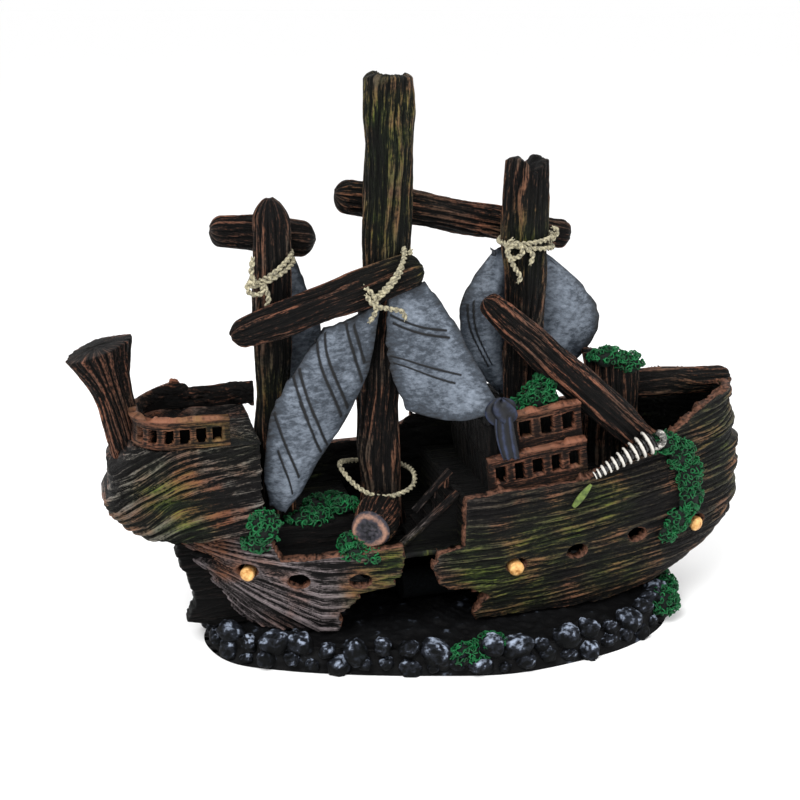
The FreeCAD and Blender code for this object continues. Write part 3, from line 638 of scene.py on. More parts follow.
# %% Edges in the hull, as side outlines of (x, z) points
SKY = [(140, 120), (-140, 120)]
BOW_SHEER = [(102, 87), (112, 90), (140, 90)]
BROKEN_SHEER = [(-140, 56), (-67, 56), (-61, 42), (-17, 46.5), (-4, 41.4), (6, 44), (6, 63.5),
                (53, 66), (74, 74.5), (87, 78)] + BOW_SHEER + SKY
WHOLE_SHEER = [(-140, 56), (-60, 56), (-59, 67), (-10, 67), (2, 74), (20, 76), (62, 76),
               (87, 80)] + BOW_SHEER + SKY
WRECK_HOLE = [(-17, 60), (-17, 46.5), (-17.5, 36), (-20, 30), (-27, 28.8), (-32.8, 27.4),
              (-34, 23), (-39, 18.5), (-41, 5), (12, 5), (12.8, 14.5), (17.3, 20.5),
              (14.3, 22.5), (9.9, 25.5), (3.3, 25.8),
              (-2, 28.6), (-6.2, 36.5), (-3.6, 41.4), (-3.6, 60)]
PORTS = [(-72.6, 37.5), (-54.6, 33.5), (-32.5, 33.0), (26.8, 33.6), (51.1, 36.5), (76.0, 40.2),
         (103.8, 40.6)]
PORT_WIDE, PORT_TALL = 4.3, 3.3       # half sizes of the oval
FAR = 1e9


def outline_distance(x, z, outline):
    """Distance outside an outline, negative inside, and the nearest point on its edge."""
    best = np.full(x.shape, FAR)
    near_x, near_z = np.zeros_like(x), np.zeros_like(z)
    inside = np.zeros(x.shape, bool)
    for (x0, z0), (x1, z1) in zip(outline, outline[1:] + outline[:1]):
        dx, dz = x1 - x0, z1 - z0
        t = np.clip(((x - x0) * dx + (z - z0) * dz) / (dx * dx + dz * dz), 0, 1)
        px, pz = x0 + t * dx, z0 + t * dz
        gap = np.hypot(x - px, z - pz)
        closer = gap < best
        best = np.where(closer, gap, best)
        near_x = np.where(closer, px, near_x)
        near_z = np.where(closer, pz, near_z)
        if dz:
            crosses = ((z0 > z) != (z1 > z)) & (x < x0 + (z - z0) * dx / dz)
            inside ^= crosses
    return np.where(inside, -best, best), near_x, near_z


def port_distance(x, z, port):
    """Distance outside an oval gun port, as the ship's curved side shows it from abeam: the
    oval is a unit circle in offsets divided by its two half sizes."""
    px, pz = port
    slope = (half_breadth(px + 1, pz) - half_breadth(px - 1, pz)) / 2
    wide = PORT_WIDE / math.hypot(1, float(slope))
    dx, dz = (x - px) / wide, (z - pz) / PORT_TALL
    reach = np.maximum(np.hypot(dx, dz), 1e-6)
    near_x, near_z = px + wide * dx / reach, pz + PORT_TALL * dz / reach
    return np.sign(reach - 1) * np.hypot(x - near_x, z - near_z), near_x, near_z


# %% The closest edge
def hull_edges(x, z, side):
    """How far the closest of the hull's edges lies from each point, and where.  Noise bends
    the broken ones: long and short splinters sideways, chips up and down."""
    splinter = 2.6 * (noise(np.stack([x / 30, z / 1.7, side], -1), 5) - 0.5)
    splinter += 1.6 * (noise(np.stack([x / 9, z / 0.9, side], -1), 6) - 0.5)
    chip = 0.8 * (noise(np.stack([x / 3.5, z / 9, side], -1), 7) - 0.5)
    near = side < 0
    found = []
    for outline, wanted in ((BROKEN_SHEER, near), (WHOLE_SHEER, ~near)):
        gap, ex, ez = outline_distance(x, z - chip, outline)
        found.append((np.where(wanted, gap, FAR), ex, ez + chip))
    gap, ex, ez = outline_distance(x + splinter, z, WRECK_HOLE)
    found.append((np.where(near, gap, FAR), ex - splinter, ez))
    for port in PORTS:
        found.append(port_distance(x, z, port))
    fields = [np.stack(field) for field in zip(*found)]
    which = fields[0].argmin(0)[None]
    return tuple(np.take_along_axis(field, which, 0)[0] for field in fields)


print(len(PORTS), "gun ports on each side, and a wreck hole from",
      min(x for x, _ in WRECK_HOLE), "to", max(x for x, _ in WRECK_HOLE), "mm")

# %% [markdown]
# ### Planking
# The planks lap each other, with deep grain cut along them, and they fan out from the
# stern post.  They could be modelled one by one, yet the casting is a single skin, so
# each casting is one grid: a saw-tooth across the planks gives the laps, and the carving
# is pushed in along the normals.  The broken edges stand up, and wear the pale brush.

# %% Planking of the hull
PLANK_BREADTH = 5.4
CARVING_DEPTH = 1.9
HULL_WALL = 3.6
LAP_SHARE, GRAIN_SHARE, RIDGE_DROP = 0.2, 0.92, 0.06
RAIL_RIDGE, RAIL_REACH = 0.78, 1.4
END_STEP, END_PLANK = 4.0, 4.3        # plank ends stand out unevenly at stem and stern


def sweep(x, z):
    """Height measured across the planks.  Aft they fan in to the stern post's head, so the
    height below that head is divided by a spread; forward they rise gently."""
    spread = np.clip((x + 112.0) / 66.0, 0.3, 1.0) ** 0.9
    return 52.0 + (z - 52.0) / spread - 0.12 * np.clip(x - 20, 0, None)


def hull_piece(name, aft, fore, top, node, plank_step, grain_step, spacing):
    """One casting of the hull from an aft station to a fore one, in planks.  The steps are
    the grid's, along and across; spacing is the breadth of a strand of grain.  A point's
    depth is CARVING_DEPTH times what its ridge height lacks of one."""
    turn = np.linspace(0, 2 * np.pi, 4001)
    s = np.cos(turn)
    rim = np.stack([115 * s, np.sign(np.sin(turn)) * HALF_BEAM * fullness(s)], 1)
    length = np.concatenate([[0], np.cumsum(np.hypot(*np.diff(rim, axis=0).T))])
    columns = int(length[-1] / plank_step)
    turn = np.interp(np.linspace(0, length[-1], columns, endpoint=False), length, turn)
    rows = int((top - HULL_FOOT) / grain_step)
    z = np.repeat(np.linspace(HULL_FOOT, top, rows)[:, None], columns, 1)
    s = np.repeat(np.cos(turn)[None], rows, 0)
    side = np.where(np.sin(turn) > 0, 1.0, -1.0)[None] + 0 * z
    x = (stem_at(z) + stern_at(z)) / 2 + s * (stem_at(z) - stern_at(z)) / 2
    gap, edge_x, edge_z = hull_edges(x, z, side)
    snap = np.abs(gap) < plank_step / 2
    x = np.where(snap, edge_x, x)
    z = np.where(snap, np.maximum(edge_z, HULL_FOOT), z)
    joint = np.abs(x - CASTING_JOINT) < plank_step * 0.5
    x = np.where(joint, CASTING_JOINT, x)
    points = np.stack([x, side * half_breadth(x, z), z], -1)
    across = sweep(x, z)
    grain = np.stack([x, across, 3 * side], -1)
    wander = noise(grain / [34, 9, 9], 11)
    lap = 1 - ((across / PLANK_BREADTH + 0.5 * wander) % 1.0) ** 1.6
    ridge = np.clip(LAP_SHARE * lap + GRAIN_SHARE * carved(grain, spacing, 20, 34.0)
                    - RIDGE_DROP, 0, 1)
    rail = np.exp(-(np.where(snap, 0.0, gap) / RAIL_REACH) ** 2)
    ridge = ridge + (RAIL_RIDGE - ridge) * rail
    board = np.stack([0 * x, np.floor(z / END_PLANK), side], -1)
    notch = END_STEP * noise(board, 33) * np.clip(np.abs(s) * 8 - 7, 0, 1)
    points = points - normals_of(points, True) * (CARVING_DEPTH * (1 - ridge))[..., None]
    points[..., 0] -= np.sign(s) * notch
    shape = as_shape(points, grain, ridge, closed=True)
    middle = points.reshape(-1, 3)[shape["quads"]].mean(1)
    corner_gap = gap.reshape(-1)[shape["quads"]]
    flattened = snap.reshape(-1)[shape["quads"]].all(1)
    within = (middle[:, 0] > aft) & (middle[:, 0] < fore)
    shape["quads"] = shape["quads"][(corner_gap.mean(1) > 0) & ~flattened & within]
    # The hull's inside wall takes the dark deck paint, which is partly painted shade.
    return make_piece(name, shape, [HULL_PAINT, RAIL_PAINT, DECK_AND_SHADE_PAINT],
                      [node], HULL_WALL)


hull_piece("stern_planking", -200, CASTING_JOINT, 68.0, "stern_hull", 0.75, 0.5, 3.6)
hull_piece("bow_planking", CASTING_JOINT, 200, HULL_TOP, "bow_hull", 1.4, 0.42, 2.5)

# %% [markdown]
# ## Timbers
# Masts, yards and spars are stout sticks with strands and cracks carved along them, some
# whole at the end and some snapped.  A cylinder would look turned, so each is rings of
# points along an axis, whose radius the carving cuts into.  A whole end closes along a
# quarter ellipse, with the strands running over it, and a small function of the place
# across the axis shapes each broken one.

# %% Timber
def ring_frame(axis):
    """Two unit vectors square to an axis, so that first x second points along it."""
    axis = axis / np.linalg.norm(axis)
    helper = np.array([0.0, 1.0, 0.0]) if abs(axis[1]) < 0.9 else np.array([1.0, 0.0, 0.0])
    first = np.cross(helper, axis)
    first /= np.linalg.norm(first)
    return axis, first, np.cross(axis, first)


def timber(stations, seed, depth=2.2, spacing=3.6, foot=None, head=None, step=1.1,
           wobble=0.13, rounds=(1.0, 1.0)):
    """A carved round timber through (x, y, z, radius) stations.  Its last few millimetres at
    each end, given by rounds, close along a quarter ellipse.  foot and head give how far a
    broken end stands in, from the two offsets of a point from the axis."""
    stations = np.array(stations, float)
    run = stations[-1, :3] - stations[0, :3]
    length = np.linalg.norm(run)
    axis, first, second = ring_frame(run)
    girth = 2 * np.pi * stations[:, 3].max()
    columns = max(24, int(girth / 0.5))
    rows = max(12, int(length / step))
    dense = smooth_line(stations, 400)
    reach = (dense[:, :3] - stations[0, :3]) @ axis
    lean = np.radians(np.linspace(0, 86, 13))[1:]
    along = np.concatenate([rounds[0] * (1 - np.sin(lean[::-1])),
                            np.linspace(rounds[0], length - rounds[1], rows),
                            length - rounds[1] * (1 - np.sin(lean))])
    shrink = np.concatenate([np.cos(lean[::-1]), np.ones(rows), np.cos(lean)])
    line = np.stack([np.interp(along, reach, dense[:, k]) for k in range(4)], 1)
    turn = np.linspace(0, 2 * np.pi, columns, endpoint=False)
    grain = np.stack(np.broadcast_arrays(along[:, None] + seed * 31.7,
                                         line[:, 3:] * np.cos(turn),
                                         line[:, 3:] * np.sin(turn)), -1)
    ridge = carved(grain, spacing, seed, 34.0, (turn / (2 * np.pi) * girth)[None, :], girth)
    swell = 1 + wobble * (noise(grain / [16, 9, 9], seed + 9) - 0.5) * 2
    radius = (line[:, 3:] * swell - depth * (1 - ridge)) * shrink[:, None]
    a, b = radius * np.cos(turn), radius * np.sin(turn)
    rough = noise(np.stack([a, b, 0 * a + seed], -1) / 1.3, seed + 5)
    lift = 1.1 * (rough - 0.5) * (1 - shrink[:, None])
    t = along[:, None] / length
    if foot is not None:
        lift = lift + foot(a, b) * np.clip(1 - t, 0, 1) ** 6
    if head is not None:
        lift = lift - head(a, b) * np.clip(t, 0, 1) ** 6
    centre = line[:, None, :3] + axis * lift[..., None]
    points = centre + a[..., None] * first + b[..., None] * second
    flat = np.clip(1.3 - 1.5 * shrink[:, None], 0, 1) * (np.array(rounds).max() < 3)
    ridge = ridge * (1 - flat) + flat * (0.1 + 0.7 * rough)
    return as_shape(points, grain, ridge, closed=True, poles=True)


def jagged(reach, seed):
    """A snapped end: splinters of uneven length, one for each way out from the axis."""
    return lambda a, b: reach * noise(np.stack([a / 3.4, b / 3.4, 0 * a], -1), seed)


print("a 2 mm splinter at the axis:", round(float(jagged(2.0, 9)(np.zeros(1), np.zeros(1))[0]), 2))

# %% [markdown]
# ### Masts
# Three thick masts stand in the ship, and each is broken off its own way: the main mast to
# a hollow rim, the fore mast to two prongs, and the mizzen to a rounded slope.  They could
# be cut with booleans, but a height over the head's two directions is easier to shape.

# %% Masts
def crater(a, b):
    """The main mast's head: a hollow inside a broken rim."""
    out = np.hypot(a, b)
    return 7.0 * np.clip(1 - out / 5.6, 0, 1) ** 0.7 + jagged(2.4, 3)(a, b) + 0.03 * out**2


def fork(a, b):
    """The fore mast's head: two prongs with a notch between them."""
    return 4.2 * np.exp(-((a + 0.5) / 2.4) ** 2) + jagged(2.6, 4)(a, b)


def bevel(a, b):
    """The mizzen's head: cut away towards the front and rounded over."""
    return 3.5 * (np.hypot(a, b) / 6.6) ** 2 + 0.25 * np.clip(b, 0, None)


MASTS = {
    "mizzen_mast": ([(-58, 0, 50, 7.4), (-58, 0, 96, 6.9), (-57, 0, 140, 7.3),
                     (-57, 0, 170, 7.2)], bevel, (1, 5)),
    "main_mast": ([(-17, 0, 41, 9.2), (-18, 0, 99, 8.3), (-15, 0, 165, 9.6),
                   (-14, 0, 213.3, 8.6)], crater, (1, 1)),
    "fore_mast": ([(38.5, 0, 86, 6.8), (38.5, 0, 130, 8.1), (38.5, 0, 160, 9.0),
                   (38.5, 0, 182, 8.1)], fork, (1, 1)),
}
for seed, (mast_name, (stations, head, rounds)) in enumerate(MASTS.items(), 1):
    make_piece(mast_name + "_timber", timber(stations, seed, head=head, rounds=rounds),
               [MAST_PAINT], [mast_name])

# %% [markdown]
# ### Yards and spars
# These lie across the masts, or have fallen from them, and are thinner and redder.  They
# differ only in their stations, seed, breadth of strand and ends, so one table holds them.

# %% Yards and spars
SPARS = {
    "main_yard": ([(-74, -12.1, 124, 4.2), (-66, -12.1, 126.3, 5.8), (-50, -12.1, 131, 6.8),
                   (-25, -12.1, 138.6, 6.9), (-5, -12.1, 144.6, 6.4)], 4, 2.8, (4, 5)),
    "mizzen_yard": ([(-77, 11.3, 157.6, 5.8), (-58, 11.3, 155, 6.9),
                     (-39, 11.3, 152.4, 6.3)], 5, 2.9, (4, 5)),
    "long_yard": ([(-31, 13.7, 168.3, 6.2), (-20, 13.7, 166, 6.9), (10, 13.7, 159.6, 6.7),
                   (40, 13.7, 153.2, 6.3), (61.5, 13.7, 148.8, 5.8)], 6, 2.9, (5, 4)),
    "fallen_spar": ([(19, -9.8, 131, 4.8), (30, -12.8, 120.8, 6.3), (50, -17.6, 102.3, 7.0),
                     (82, -25, 72.6, 7.1)], 7, 3.0, (3, 1)),
    "bowsprit": ([(80, 1, 90.4, 6.0), (104, 3, 89.4, 5.9), (122, 4.6, 88.7, 5.4),
                  (130.5, 5.2, 88.2, 4.6)], 8, 3.0, (1, 3)),
}
for spar_name, (stations, seed, spacing, rounds) in SPARS.items():
    make_piece(spar_name + "_timber", timber(stations, seed, 2.1, spacing, rounds=rounds),
               [SPAR_PAINT], [spar_name])
make_piece("foredeck_stump_timber",
           timber([(78, 1, 60, 12.0), (77, 0, 84, 10.6), (75, 0, 106.5, 11.0)], 9, 2.1, 3.2,
                  None, lambda a, b: 2.0 + 0.32 * a + jagged(2.0, 9)(a, b)),
           [MAST_PAINT], ["foredeck_stump"])
make_piece("stern_post_timber",
           timber([(-107, 0, 72, 8.4), (-112, 0, 92, 6.8), (-115.2, 0, 106, 7.4),
                   (-119.6, 0, 121.6, 12.8)], 10, 2.0, 3.0, None, lambda a, b: 0.9 - 0.05 * a),
           [SPAR_PAINT], ["stern_post"])

# %% [markdown]
# ## Stern castle, cabins and deck boxes
# The castle leans out over the water, and the cabins and decks are closed boxes of planks.
# Boxes with a bevel would do for the outline, but the planks have to follow it.  A plan
# outline, a rectangle with rounded corners, is carried up through the heights, and rings
# that shrink to the middle close it above and below.  The carving then follows whichever
# way the planks run.

# %% Planked blocks
def rounded_plan(aft, fore, half, aft_radius, fore_radius, step):
    """A rectangle with rounded corners, seen from above, anticlockwise from the middle of
    its fore side.  Each corner is a quarter circle."""
    arc = np.linspace(0, np.pi / 2, 12)
    corners = [(fore - fore_radius, half - fore_radius, fore_radius, 0),
               (aft + aft_radius, half - aft_radius, aft_radius, 1),
               (aft + aft_radius, aft_radius - half, aft_radius, 2),
               (fore - fore_radius, fore_radius - half, fore_radius, 3)]
    path = [np.array([[fore, 0.0]])]
    for cx, cy, radius, quarter in corners:
        turn = arc + quarter * np.pi / 2
        path.append(np.stack([cx + radius * np.cos(turn), cy + radius * np.sin(turn)], 1))
    return evenly(np.concatenate(path), step, closed=True)


def block(plan, heights, seed, depth=1.4, spacing=2.4, lines=None, place=None, upright=False):
    """A planked block: the plan at each height, closed by shrinking rings.  lines bends the
    grain, place moves the finished points, and upright stands the grain up."""
    cover = np.linspace(0.05, 0.98, 8)
    shrink = np.concatenate([cover, np.ones(len(heights)), cover[::-1]])
    level = np.concatenate([np.full(8, heights[0]), heights, np.full(8, heights[-1])])
    flat = plan[None] if plan.ndim == 2 else np.concatenate([np.repeat(plan[:1], 8, 0), plan,
                                                             np.repeat(plan[-1:], 8, 0)])
    middle = flat.mean(1, keepdims=True)
    xy = middle + (flat - middle) * shrink[:, None, None]
    points = np.concatenate([xy, np.broadcast_to(level[:, None, None], xy.shape[:2] + (1,))], -1)
    x, y, z = points[..., 0], points[..., 1], points[..., 2]
    along, across = (z, x + y) if upright else (x - 0.8 * y, z)
    if lines is not None:
        along, across = lines(x, y, z)
    inner = np.where(shrink[:, None] < 0.99, y + 0 * z, 0.0)
    grain = np.stack([along, across, inner + 40.0], -1)
    ridge = carved(grain, spacing, seed, 24.0)
    outward = normals_of(points, True)
    points = points - outward * (depth * (1 - ridge))[..., None]
    if place is not None:
        points = place(points)
    return as_shape(points, grain, ridge, closed=True, poles=True)


def levels(low, high, step=0.55):
    """Heights from low to high, a step apart."""
    return np.linspace(low, high, max(3, int((high - low) / step)))


def raked(plan, aft, fore, aft_edge):
    """A plan for each height, stretched from its fore side, so that its aft side lies on
    the height's own aft edge."""
    reach = (aft_edge - fore) / (aft - fore)
    return np.stack([fore + (plan[None, :, 0] - fore) * reach[:, None],
                     np.repeat(plan[None, :, 1], len(reach), 0)], -1)


print("heights from 10 to 46 mm:", len(levels(10.0, 46.0)))

# %% [markdown]
# ### Stern castle
# The castle is the tall end of the ship, with planks that sweep up to the quarter round a
# knot.  It could be cut from a box, but its aft side steps out and in from plank to plank,
# so every height gets a plan of its own, stretched to that height's aft edge.

# %% Stern castle
def castle_lines(x, y, z):
    """Grain of the castle: planks that rise a little forward and steeply at the quarter,
    and bow slightly round a knot."""
    rise = 0.12 * (x + 90) - 0.55 * 4.0 * np.log1p(np.exp(-(x + 97) / 4.0))
    swirl = 1.6 * np.exp(-((x + 98) / 7.0) ** 2 - ((z - 70) / 6.0) ** 2)
    return x - 0.8 * y, z - rise + swirl * np.tanh(z - 70)


CASTLE_TOP = 89.0
CASTLE_AFT, CASTLE_FORE = -118, -66
LEDGE_TALL, LEDGE_DEEP = 2.9, 3.4
castle_heights = levels(53.6, CASTLE_TOP)
aft_edge = np.interp(castle_heights, [53.5, 55, 59, 66, 71, 79, 89],
                     [-106, -112, -118, -122, -120.5, -121.5, -112.5])
ledge = castle_heights / LEDGE_TALL
ledges = np.floor(ledge) + np.clip(ledge % 1 * 3 - 2, 0, 1)
aft_edge = aft_edge + LEDGE_DEEP * noise(np.stack([0.6 * ledges] + [0 * ledges] * 2, -1), 40)
castle_plan = raked(rounded_plan(CASTLE_AFT, CASTLE_FORE, 25, 15, 1.2, 0.9),
                    CASTLE_AFT, CASTLE_FORE, aft_edge)
make_piece("stern_castle_planking",
           block(castle_plan, castle_heights, 41, 2.0, 3.0, castle_lines),
           [CASTLE_PAINT], ["stern_castle"])

# %% [markdown]
# ### Forecastle cabin
# Behind the windowed rails stands a dark cabin in two stages, on a deck that lifts to the
# bow.  Turning each piece by hand would leave small gaps, so the cabin is built level and
# square in a frame of its own, and one function turns and moves it all together.

# %% Forecastle cabin, on a tilted deck
CABIN_CORNER = np.array([17.0, -29.5, 61.0])
CABIN_LENGTH, CABIN_BREADTH = 38.5, 52.0
CABIN_PITCH = math.radians(7.0)
TIER = 14.5
UPPER_START = 11.5
WALL = 3.0


def pitched(points):
    """From the cabin's own level frame to its place: turned bow up, then moved."""
    x, y, z = points[..., 0], points[..., 1], points[..., 2]
    c, s = math.cos(CABIN_PITCH), math.sin(CABIN_PITCH)
    return np.stack([x * c - z * s, y, x * s + z * c], -1) + CABIN_CORNER


def cabin_box(x0, x1, y0, z0, z1, seed):
    """One stage of the cabin as an upright-planked block in the cabin's own frame."""
    plan = rounded_plan(x0, x1, (CABIN_BREADTH - y0) / 2, 0.8, 0.8, 0.8)
    plan = plan + [0, (CABIN_BREADTH + y0) / 2]
    return block(plan, levels(z0, z1, 0.8), seed, 1.2, 2.2, place=pitched, upright=True)


make_piece("forecastle_cabin_planking",
           joined([cabin_box(1, CABIN_LENGTH - 1, WALL * 2, -4, TIER, 50),
                   cabin_box(1, CABIN_LENGTH - 1, WALL, TIER - 2, TIER + 0.2, 51),
                   cabin_box(1, UPPER_START + 2, WALL * 0.8, TIER - 1, TIER + 13, 52),
                   cabin_box(UPPER_START, CABIN_LENGTH - 1, WALL * 3, TIER - 1, TIER + 11, 53)]),
           [DECK_AND_SHADE_PAINT], ["forecastle_cabin"])


# %% [markdown]
# ### Decks, hatch and bulkhead
# The decks are dark plank floors that end at the ship's curved sides.  A flat board cut to
# shape would work too, but asking the hull for its breadth at each station makes a deck
# that fits by itself, and a groove every few millimetres across parts the planks.

# %% Hatch, bulkhead and decks
DECK_INSET, DECK_PLANK, SEAM_DEEP, DECK_THICK = 3.0, 5.0, 1.2, 2.0


def deck(aft, fore, z, seed):
    """A deck: planks fore and aft over the hull's breadth at z, less an inset at each side.
    The ridge is low in the seams, and its depth is SEAM_DEEP times what it lacks of one."""
    x = np.linspace(aft, fore, int((fore - aft) / 1.2))[None, :]
    share = np.linspace(-1, 1, 130)[:, None]
    y = share * np.maximum(half_breadth(x, z) - DECK_INSET, 0.3)
    grain = np.stack([x + 0 * y, y, 0 * y + seed], -1)
    seam = np.clip(np.abs(((y / DECK_PLANK) % 1.0) - 0.5) * 9, 0, 1)
    ridge = carved(grain, 2.2, seed, 26.0) * (0.25 + 0.75 * (1 - np.clip(1.2 - seam, 0, 1)))
    points = np.stack([x + 0 * y, y, z - SEAM_DEEP * (1 - ridge)], -1)
    return as_shape(points, grain, ridge)


make_piece("waist_deck_planks", deck(-90, 7, 43.4, 60), [DECK_AND_SHADE_PAINT],
           ["waist_deck"], DECK_THICK)
make_piece("foredeck_planks", deck(7, 122, 61.4, 61), [DECK_AND_SHADE_PAINT],
           ["foredeck"], DECK_THICK)
hatch_plan = rounded_plan(-66, -28, 20, 0.8, 0.8, 0.8) + [0, 4.5]
make_piece("deck_hatch_planks", block(hatch_plan, levels(42, 52.2), 62, 1.3, 2.6),
           [DECK_AND_SHADE_PAINT], ["deck_hatch"])
bulkhead_plan = rounded_plan(5.6, 9, 30.5, 0.5, 0.5, 0.8)
make_piece("forecastle_bulkhead_planks", block(bulkhead_plan, levels(41, 61), 63, 1.0, 2.4),
           [DECK_AND_SHADE_PAINT], ["forecastle_bulkhead"])

# %% [markdown]
# ## Windowed rails
# A gallery is a wall along a path with a row of square windows, and a rail on top.  Posts
# and boards could be put together one by one, but the cast wall is a single skin with soft
# corners.  It is a grid: cells in a window are left out, Solidify gives the thickness, and
# a lip along the top and a smaller one at the foot stand proud.

# %% Gallery walls
def gallery_wall(path, height, windows, sill, head, seed, lip=1.1, place=None, top=None):
    """A wall over a path of (x, y) points, with windows given by their start and end along
    it.  A point is the path's point, pushed out by the lips and a little unevenness."""
    path = evenly(np.asarray(path, float), 0.5)
    step = np.linalg.norm(np.diff(path, axis=0), axis=1)
    along = np.concatenate([[0], np.cumsum(step)])
    rise = np.linspace(0, 1, int(height / 0.42))[:, None]
    tall = np.full((1, len(path)), height) if top is None else top(path[:, 0])[None, :]
    z = rise * tall
    u = along[None, :] + 0 * z
    gap = np.full(z.shape, FAR)
    for start, end in windows:
        mid_u, mid_z = (start + end) / 2, (sill + head) / 2
        qu, qz = np.abs(u - mid_u) - (end - start) / 2, np.abs(z - mid_z) - (head - sill) / 2
        outside = np.hypot(np.clip(qu, 0, None), np.clip(qz, 0, None))
        gap = np.minimum(gap, outside + np.minimum(np.maximum(qu, qz), 0))
    x = np.repeat(path[None, :, 0], len(rise), 0)
    y = np.repeat(path[None, :, 1], len(rise), 0)
    points = np.stack([x, y, z], -1)
    grain = np.stack([u, z, 0 * z + seed], -1)
    uneven = noise(np.stack([u / 4, z / 2.5, 0 * z], -1), seed)
    carving = carved(grain, 1.7, seed + 1, 16.0)
    near_top = np.exp(-((z - tall) / 1.5) ** 2)
    near_foot = np.exp(-(z / 1.2) ** 2)
    proud = lip * near_top + 0.6 * lip * near_foot + 0.35 * uneven - 0.45 * (1 - carving) - 0.4
    points = points + normals_of(points, False) * proud[..., None]
    ridge = np.clip(0.3 + 0.45 * carving + 0.4 * near_top + 0.3 * near_foot
                    + 0.3 * np.exp(-(gap / 0.6) ** 2), 0, 1.1)
    if place is not None:
        points = place(points)
    shape = as_shape(points, grain, ridge)
    shape["quads"] = shape["quads"][gap.reshape(-1)[shape["quads"]].mean(1) > 0]
    return shape


def even_windows(length, count, side):
    """Starts and ends of a row of windows, each a little over half of its own pitch."""
    pitch = (length - side) / count
    width = 0.6 * pitch
    starts = [side / 2 + i * pitch + (pitch - width) / 2 for i in range(count)]
    return [(s, s + width) for s in starts]


SILL, HEAD = 5.0, 11.5
lower_windows = even_windows(CABIN_LENGTH, 5, 2.0)
upper_windows = even_windows(CABIN_LENGTH - UPPER_START, 3, 2.0)
make_piece("lower_gallery_rail",
           gallery_wall([(0, 0), (CABIN_LENGTH, 0)], TIER + 0.6, lower_windows, SILL, HEAD, 70,
                        place=pitched), [JOINERY_PAINT], ["lower_gallery"], WALL)
make_piece("upper_gallery_rail",
           gallery_wall([(UPPER_START, WALL), (CABIN_LENGTH, WALL)], TIER, upper_windows, SILL,
                        HEAD, 72, place=lambda p: pitched(p + [0, 0, TIER])),
           [JOINERY_PAINT], ["upper_gallery"], WALL)
print("windows:", len(lower_windows), "below and", len(upper_windows), "above")

# %% [markdown]
# ### Stern gallery and bulwark
# A rail with six small windows runs round the castle's near corner, and a plain broken bulwark round
# the far one.  Bending a straight rail would squeeze its windows, so the wall is laid along the bent
# path from the start.  Black boards stand close behind the windows as painted shadow, since no light
# comes through them on the real piece.

# %% Stern gallery and the far bulwark
BEND = 14.5
WINDOW_HALF = 1.8
BOARD_THICK = 0.6
quarter = np.linspace(0, np.pi / 2, 16)
corner = np.stack([-95 - BEND * np.sin(quarter), -10 - BEND * np.cos(quarter)], 1)
gallery_path = np.concatenate([[(-109.5, -2)], corner[::-1], [(-77, -24.5)]])
gallery_run = 8 + BEND * np.pi / 2 + 18
stern_windows = [(gallery_run - m - WINDOW_HALF, gallery_run - m + WINDOW_HALF)
                 for m in (4.2, 9.8, 15.4, 21.0, 27.0, 33.0)]


def on_castle(points):
    """Stand a wall on the castle's deck."""
    return points + [0, 0, CASTLE_TOP]


make_piece("stern_gallery_rail",
           gallery_wall(gallery_path, 10.0, stern_windows, 2.0, 7.0, 74, place=on_castle),
           [JOINERY_PAINT], ["stern_gallery"], WALL)
inner_path = np.concatenate([[(-105.9, -3.0)], corner[::-1] + [3.6, 3.6], [(-79.0, -20.9)]])
make_piece("stern_gallery_shadow_boards",
           gallery_wall(inner_path, 8.6, [], 2.0, 7.0, 75, 0.2, place=on_castle),
           [PAINTED_SHADOW_BLACK], ["stern_gallery"], BOARD_THICK)
far_corner = corner * [1, -1]
bulwark_path = np.concatenate([[(-62, 24.5), (-77, 24.5)], far_corner, [(-109.5, 4)]])


def bulwark_top(x):
    """Height of the far bulwark: low aft, a broken peak, and a long level rail."""
    return np.interp(x, [-120, -107, -91, -87, -60], [4.0, 5.0, 10.0, 6.5, 7.5])


make_piece("castle_bulwark_planks",
           gallery_wall(bulwark_path, 10.0, [], 2, 7, 76, place=on_castle, top=bulwark_top),
           [SPAR_PAINT], ["castle_bulwark"], WALL)

# %% [markdown]
# ## Small wooden pieces
# A cask lies on the deck, and a ladder climbs out of the waist.  The cask could be turned
# like a bottle, but its staves are as rough as the masts, so it is a short fat timber.
# The ladder's parts are squared beams, whose section is a superellipse: a box with soft
# corners from one formula, where a bevelled cube would need a modifier for each.

# %% Beams and the cask
SQUARENESS = 0.35
BEAM_CARVING = 0.28


def beam(start, end, width, height, seed):
    """A squared beam between two points.  Its section is the cosine and sine of the turn,
    each raised to SQUARENESS with its sign kept."""
    start, end = np.array(start, float), np.array(end, float)
    axis, first, second = ring_frame(end - start)
    length = np.linalg.norm(end - start)
    turn = np.linspace(0, 2 * np.pi, 28, endpoint=False)
    a = np.sign(np.cos(turn)) * np.abs(np.cos(turn)) ** SQUARENESS * height / 2
    b = np.sign(np.sin(turn)) * np.abs(np.sin(turn)) ** SQUARENESS * width / 2
    rows = max(8, int(length / 0.8))
    along = np.concatenate([np.zeros(4), np.linspace(0, length, rows), np.full(4, length)])
    shrink = np.concatenate([np.linspace(0.1, 0.95, 4), np.ones(rows),
                             np.linspace(0.95, 0.1, 4)])
    grain = np.stack(np.broadcast_arrays(along[:, None] + 17 * seed, a[None], b[None]), -1)
    ridge = carved(grain, 1.3, seed, 12.0)
    size = shrink[:, None] * (1 - BEAM_CARVING * (1 - ridge))
    points = (start + along[:, None, None] * axis + (a * size)[..., None] * first
              + (b * size)[..., None] * second)
    return as_shape(points, grain, ridge, closed=True, poles=True)


DECK_LEVEL = 43.0
cask_axis = np.array([9.5, 18.0, 0.0])
cask_end = np.array([-28.0, -25.0, DECK_LEVEL + 8.6])
cask_stations = [(*(cask_end + cask_axis * t), r) for t, r in
                 ((0.0, 6.3), (0.04, 7.0), (0.25, 8.3), (0.5, 8.8), (0.8, 8.2), (1.0, 7.4))]
make_piece("deck_cask_staves", timber(cask_stations, 12, 1.5, 1.9, step=0.7),
           [SPAR_PAINT], ["deck_cask"])


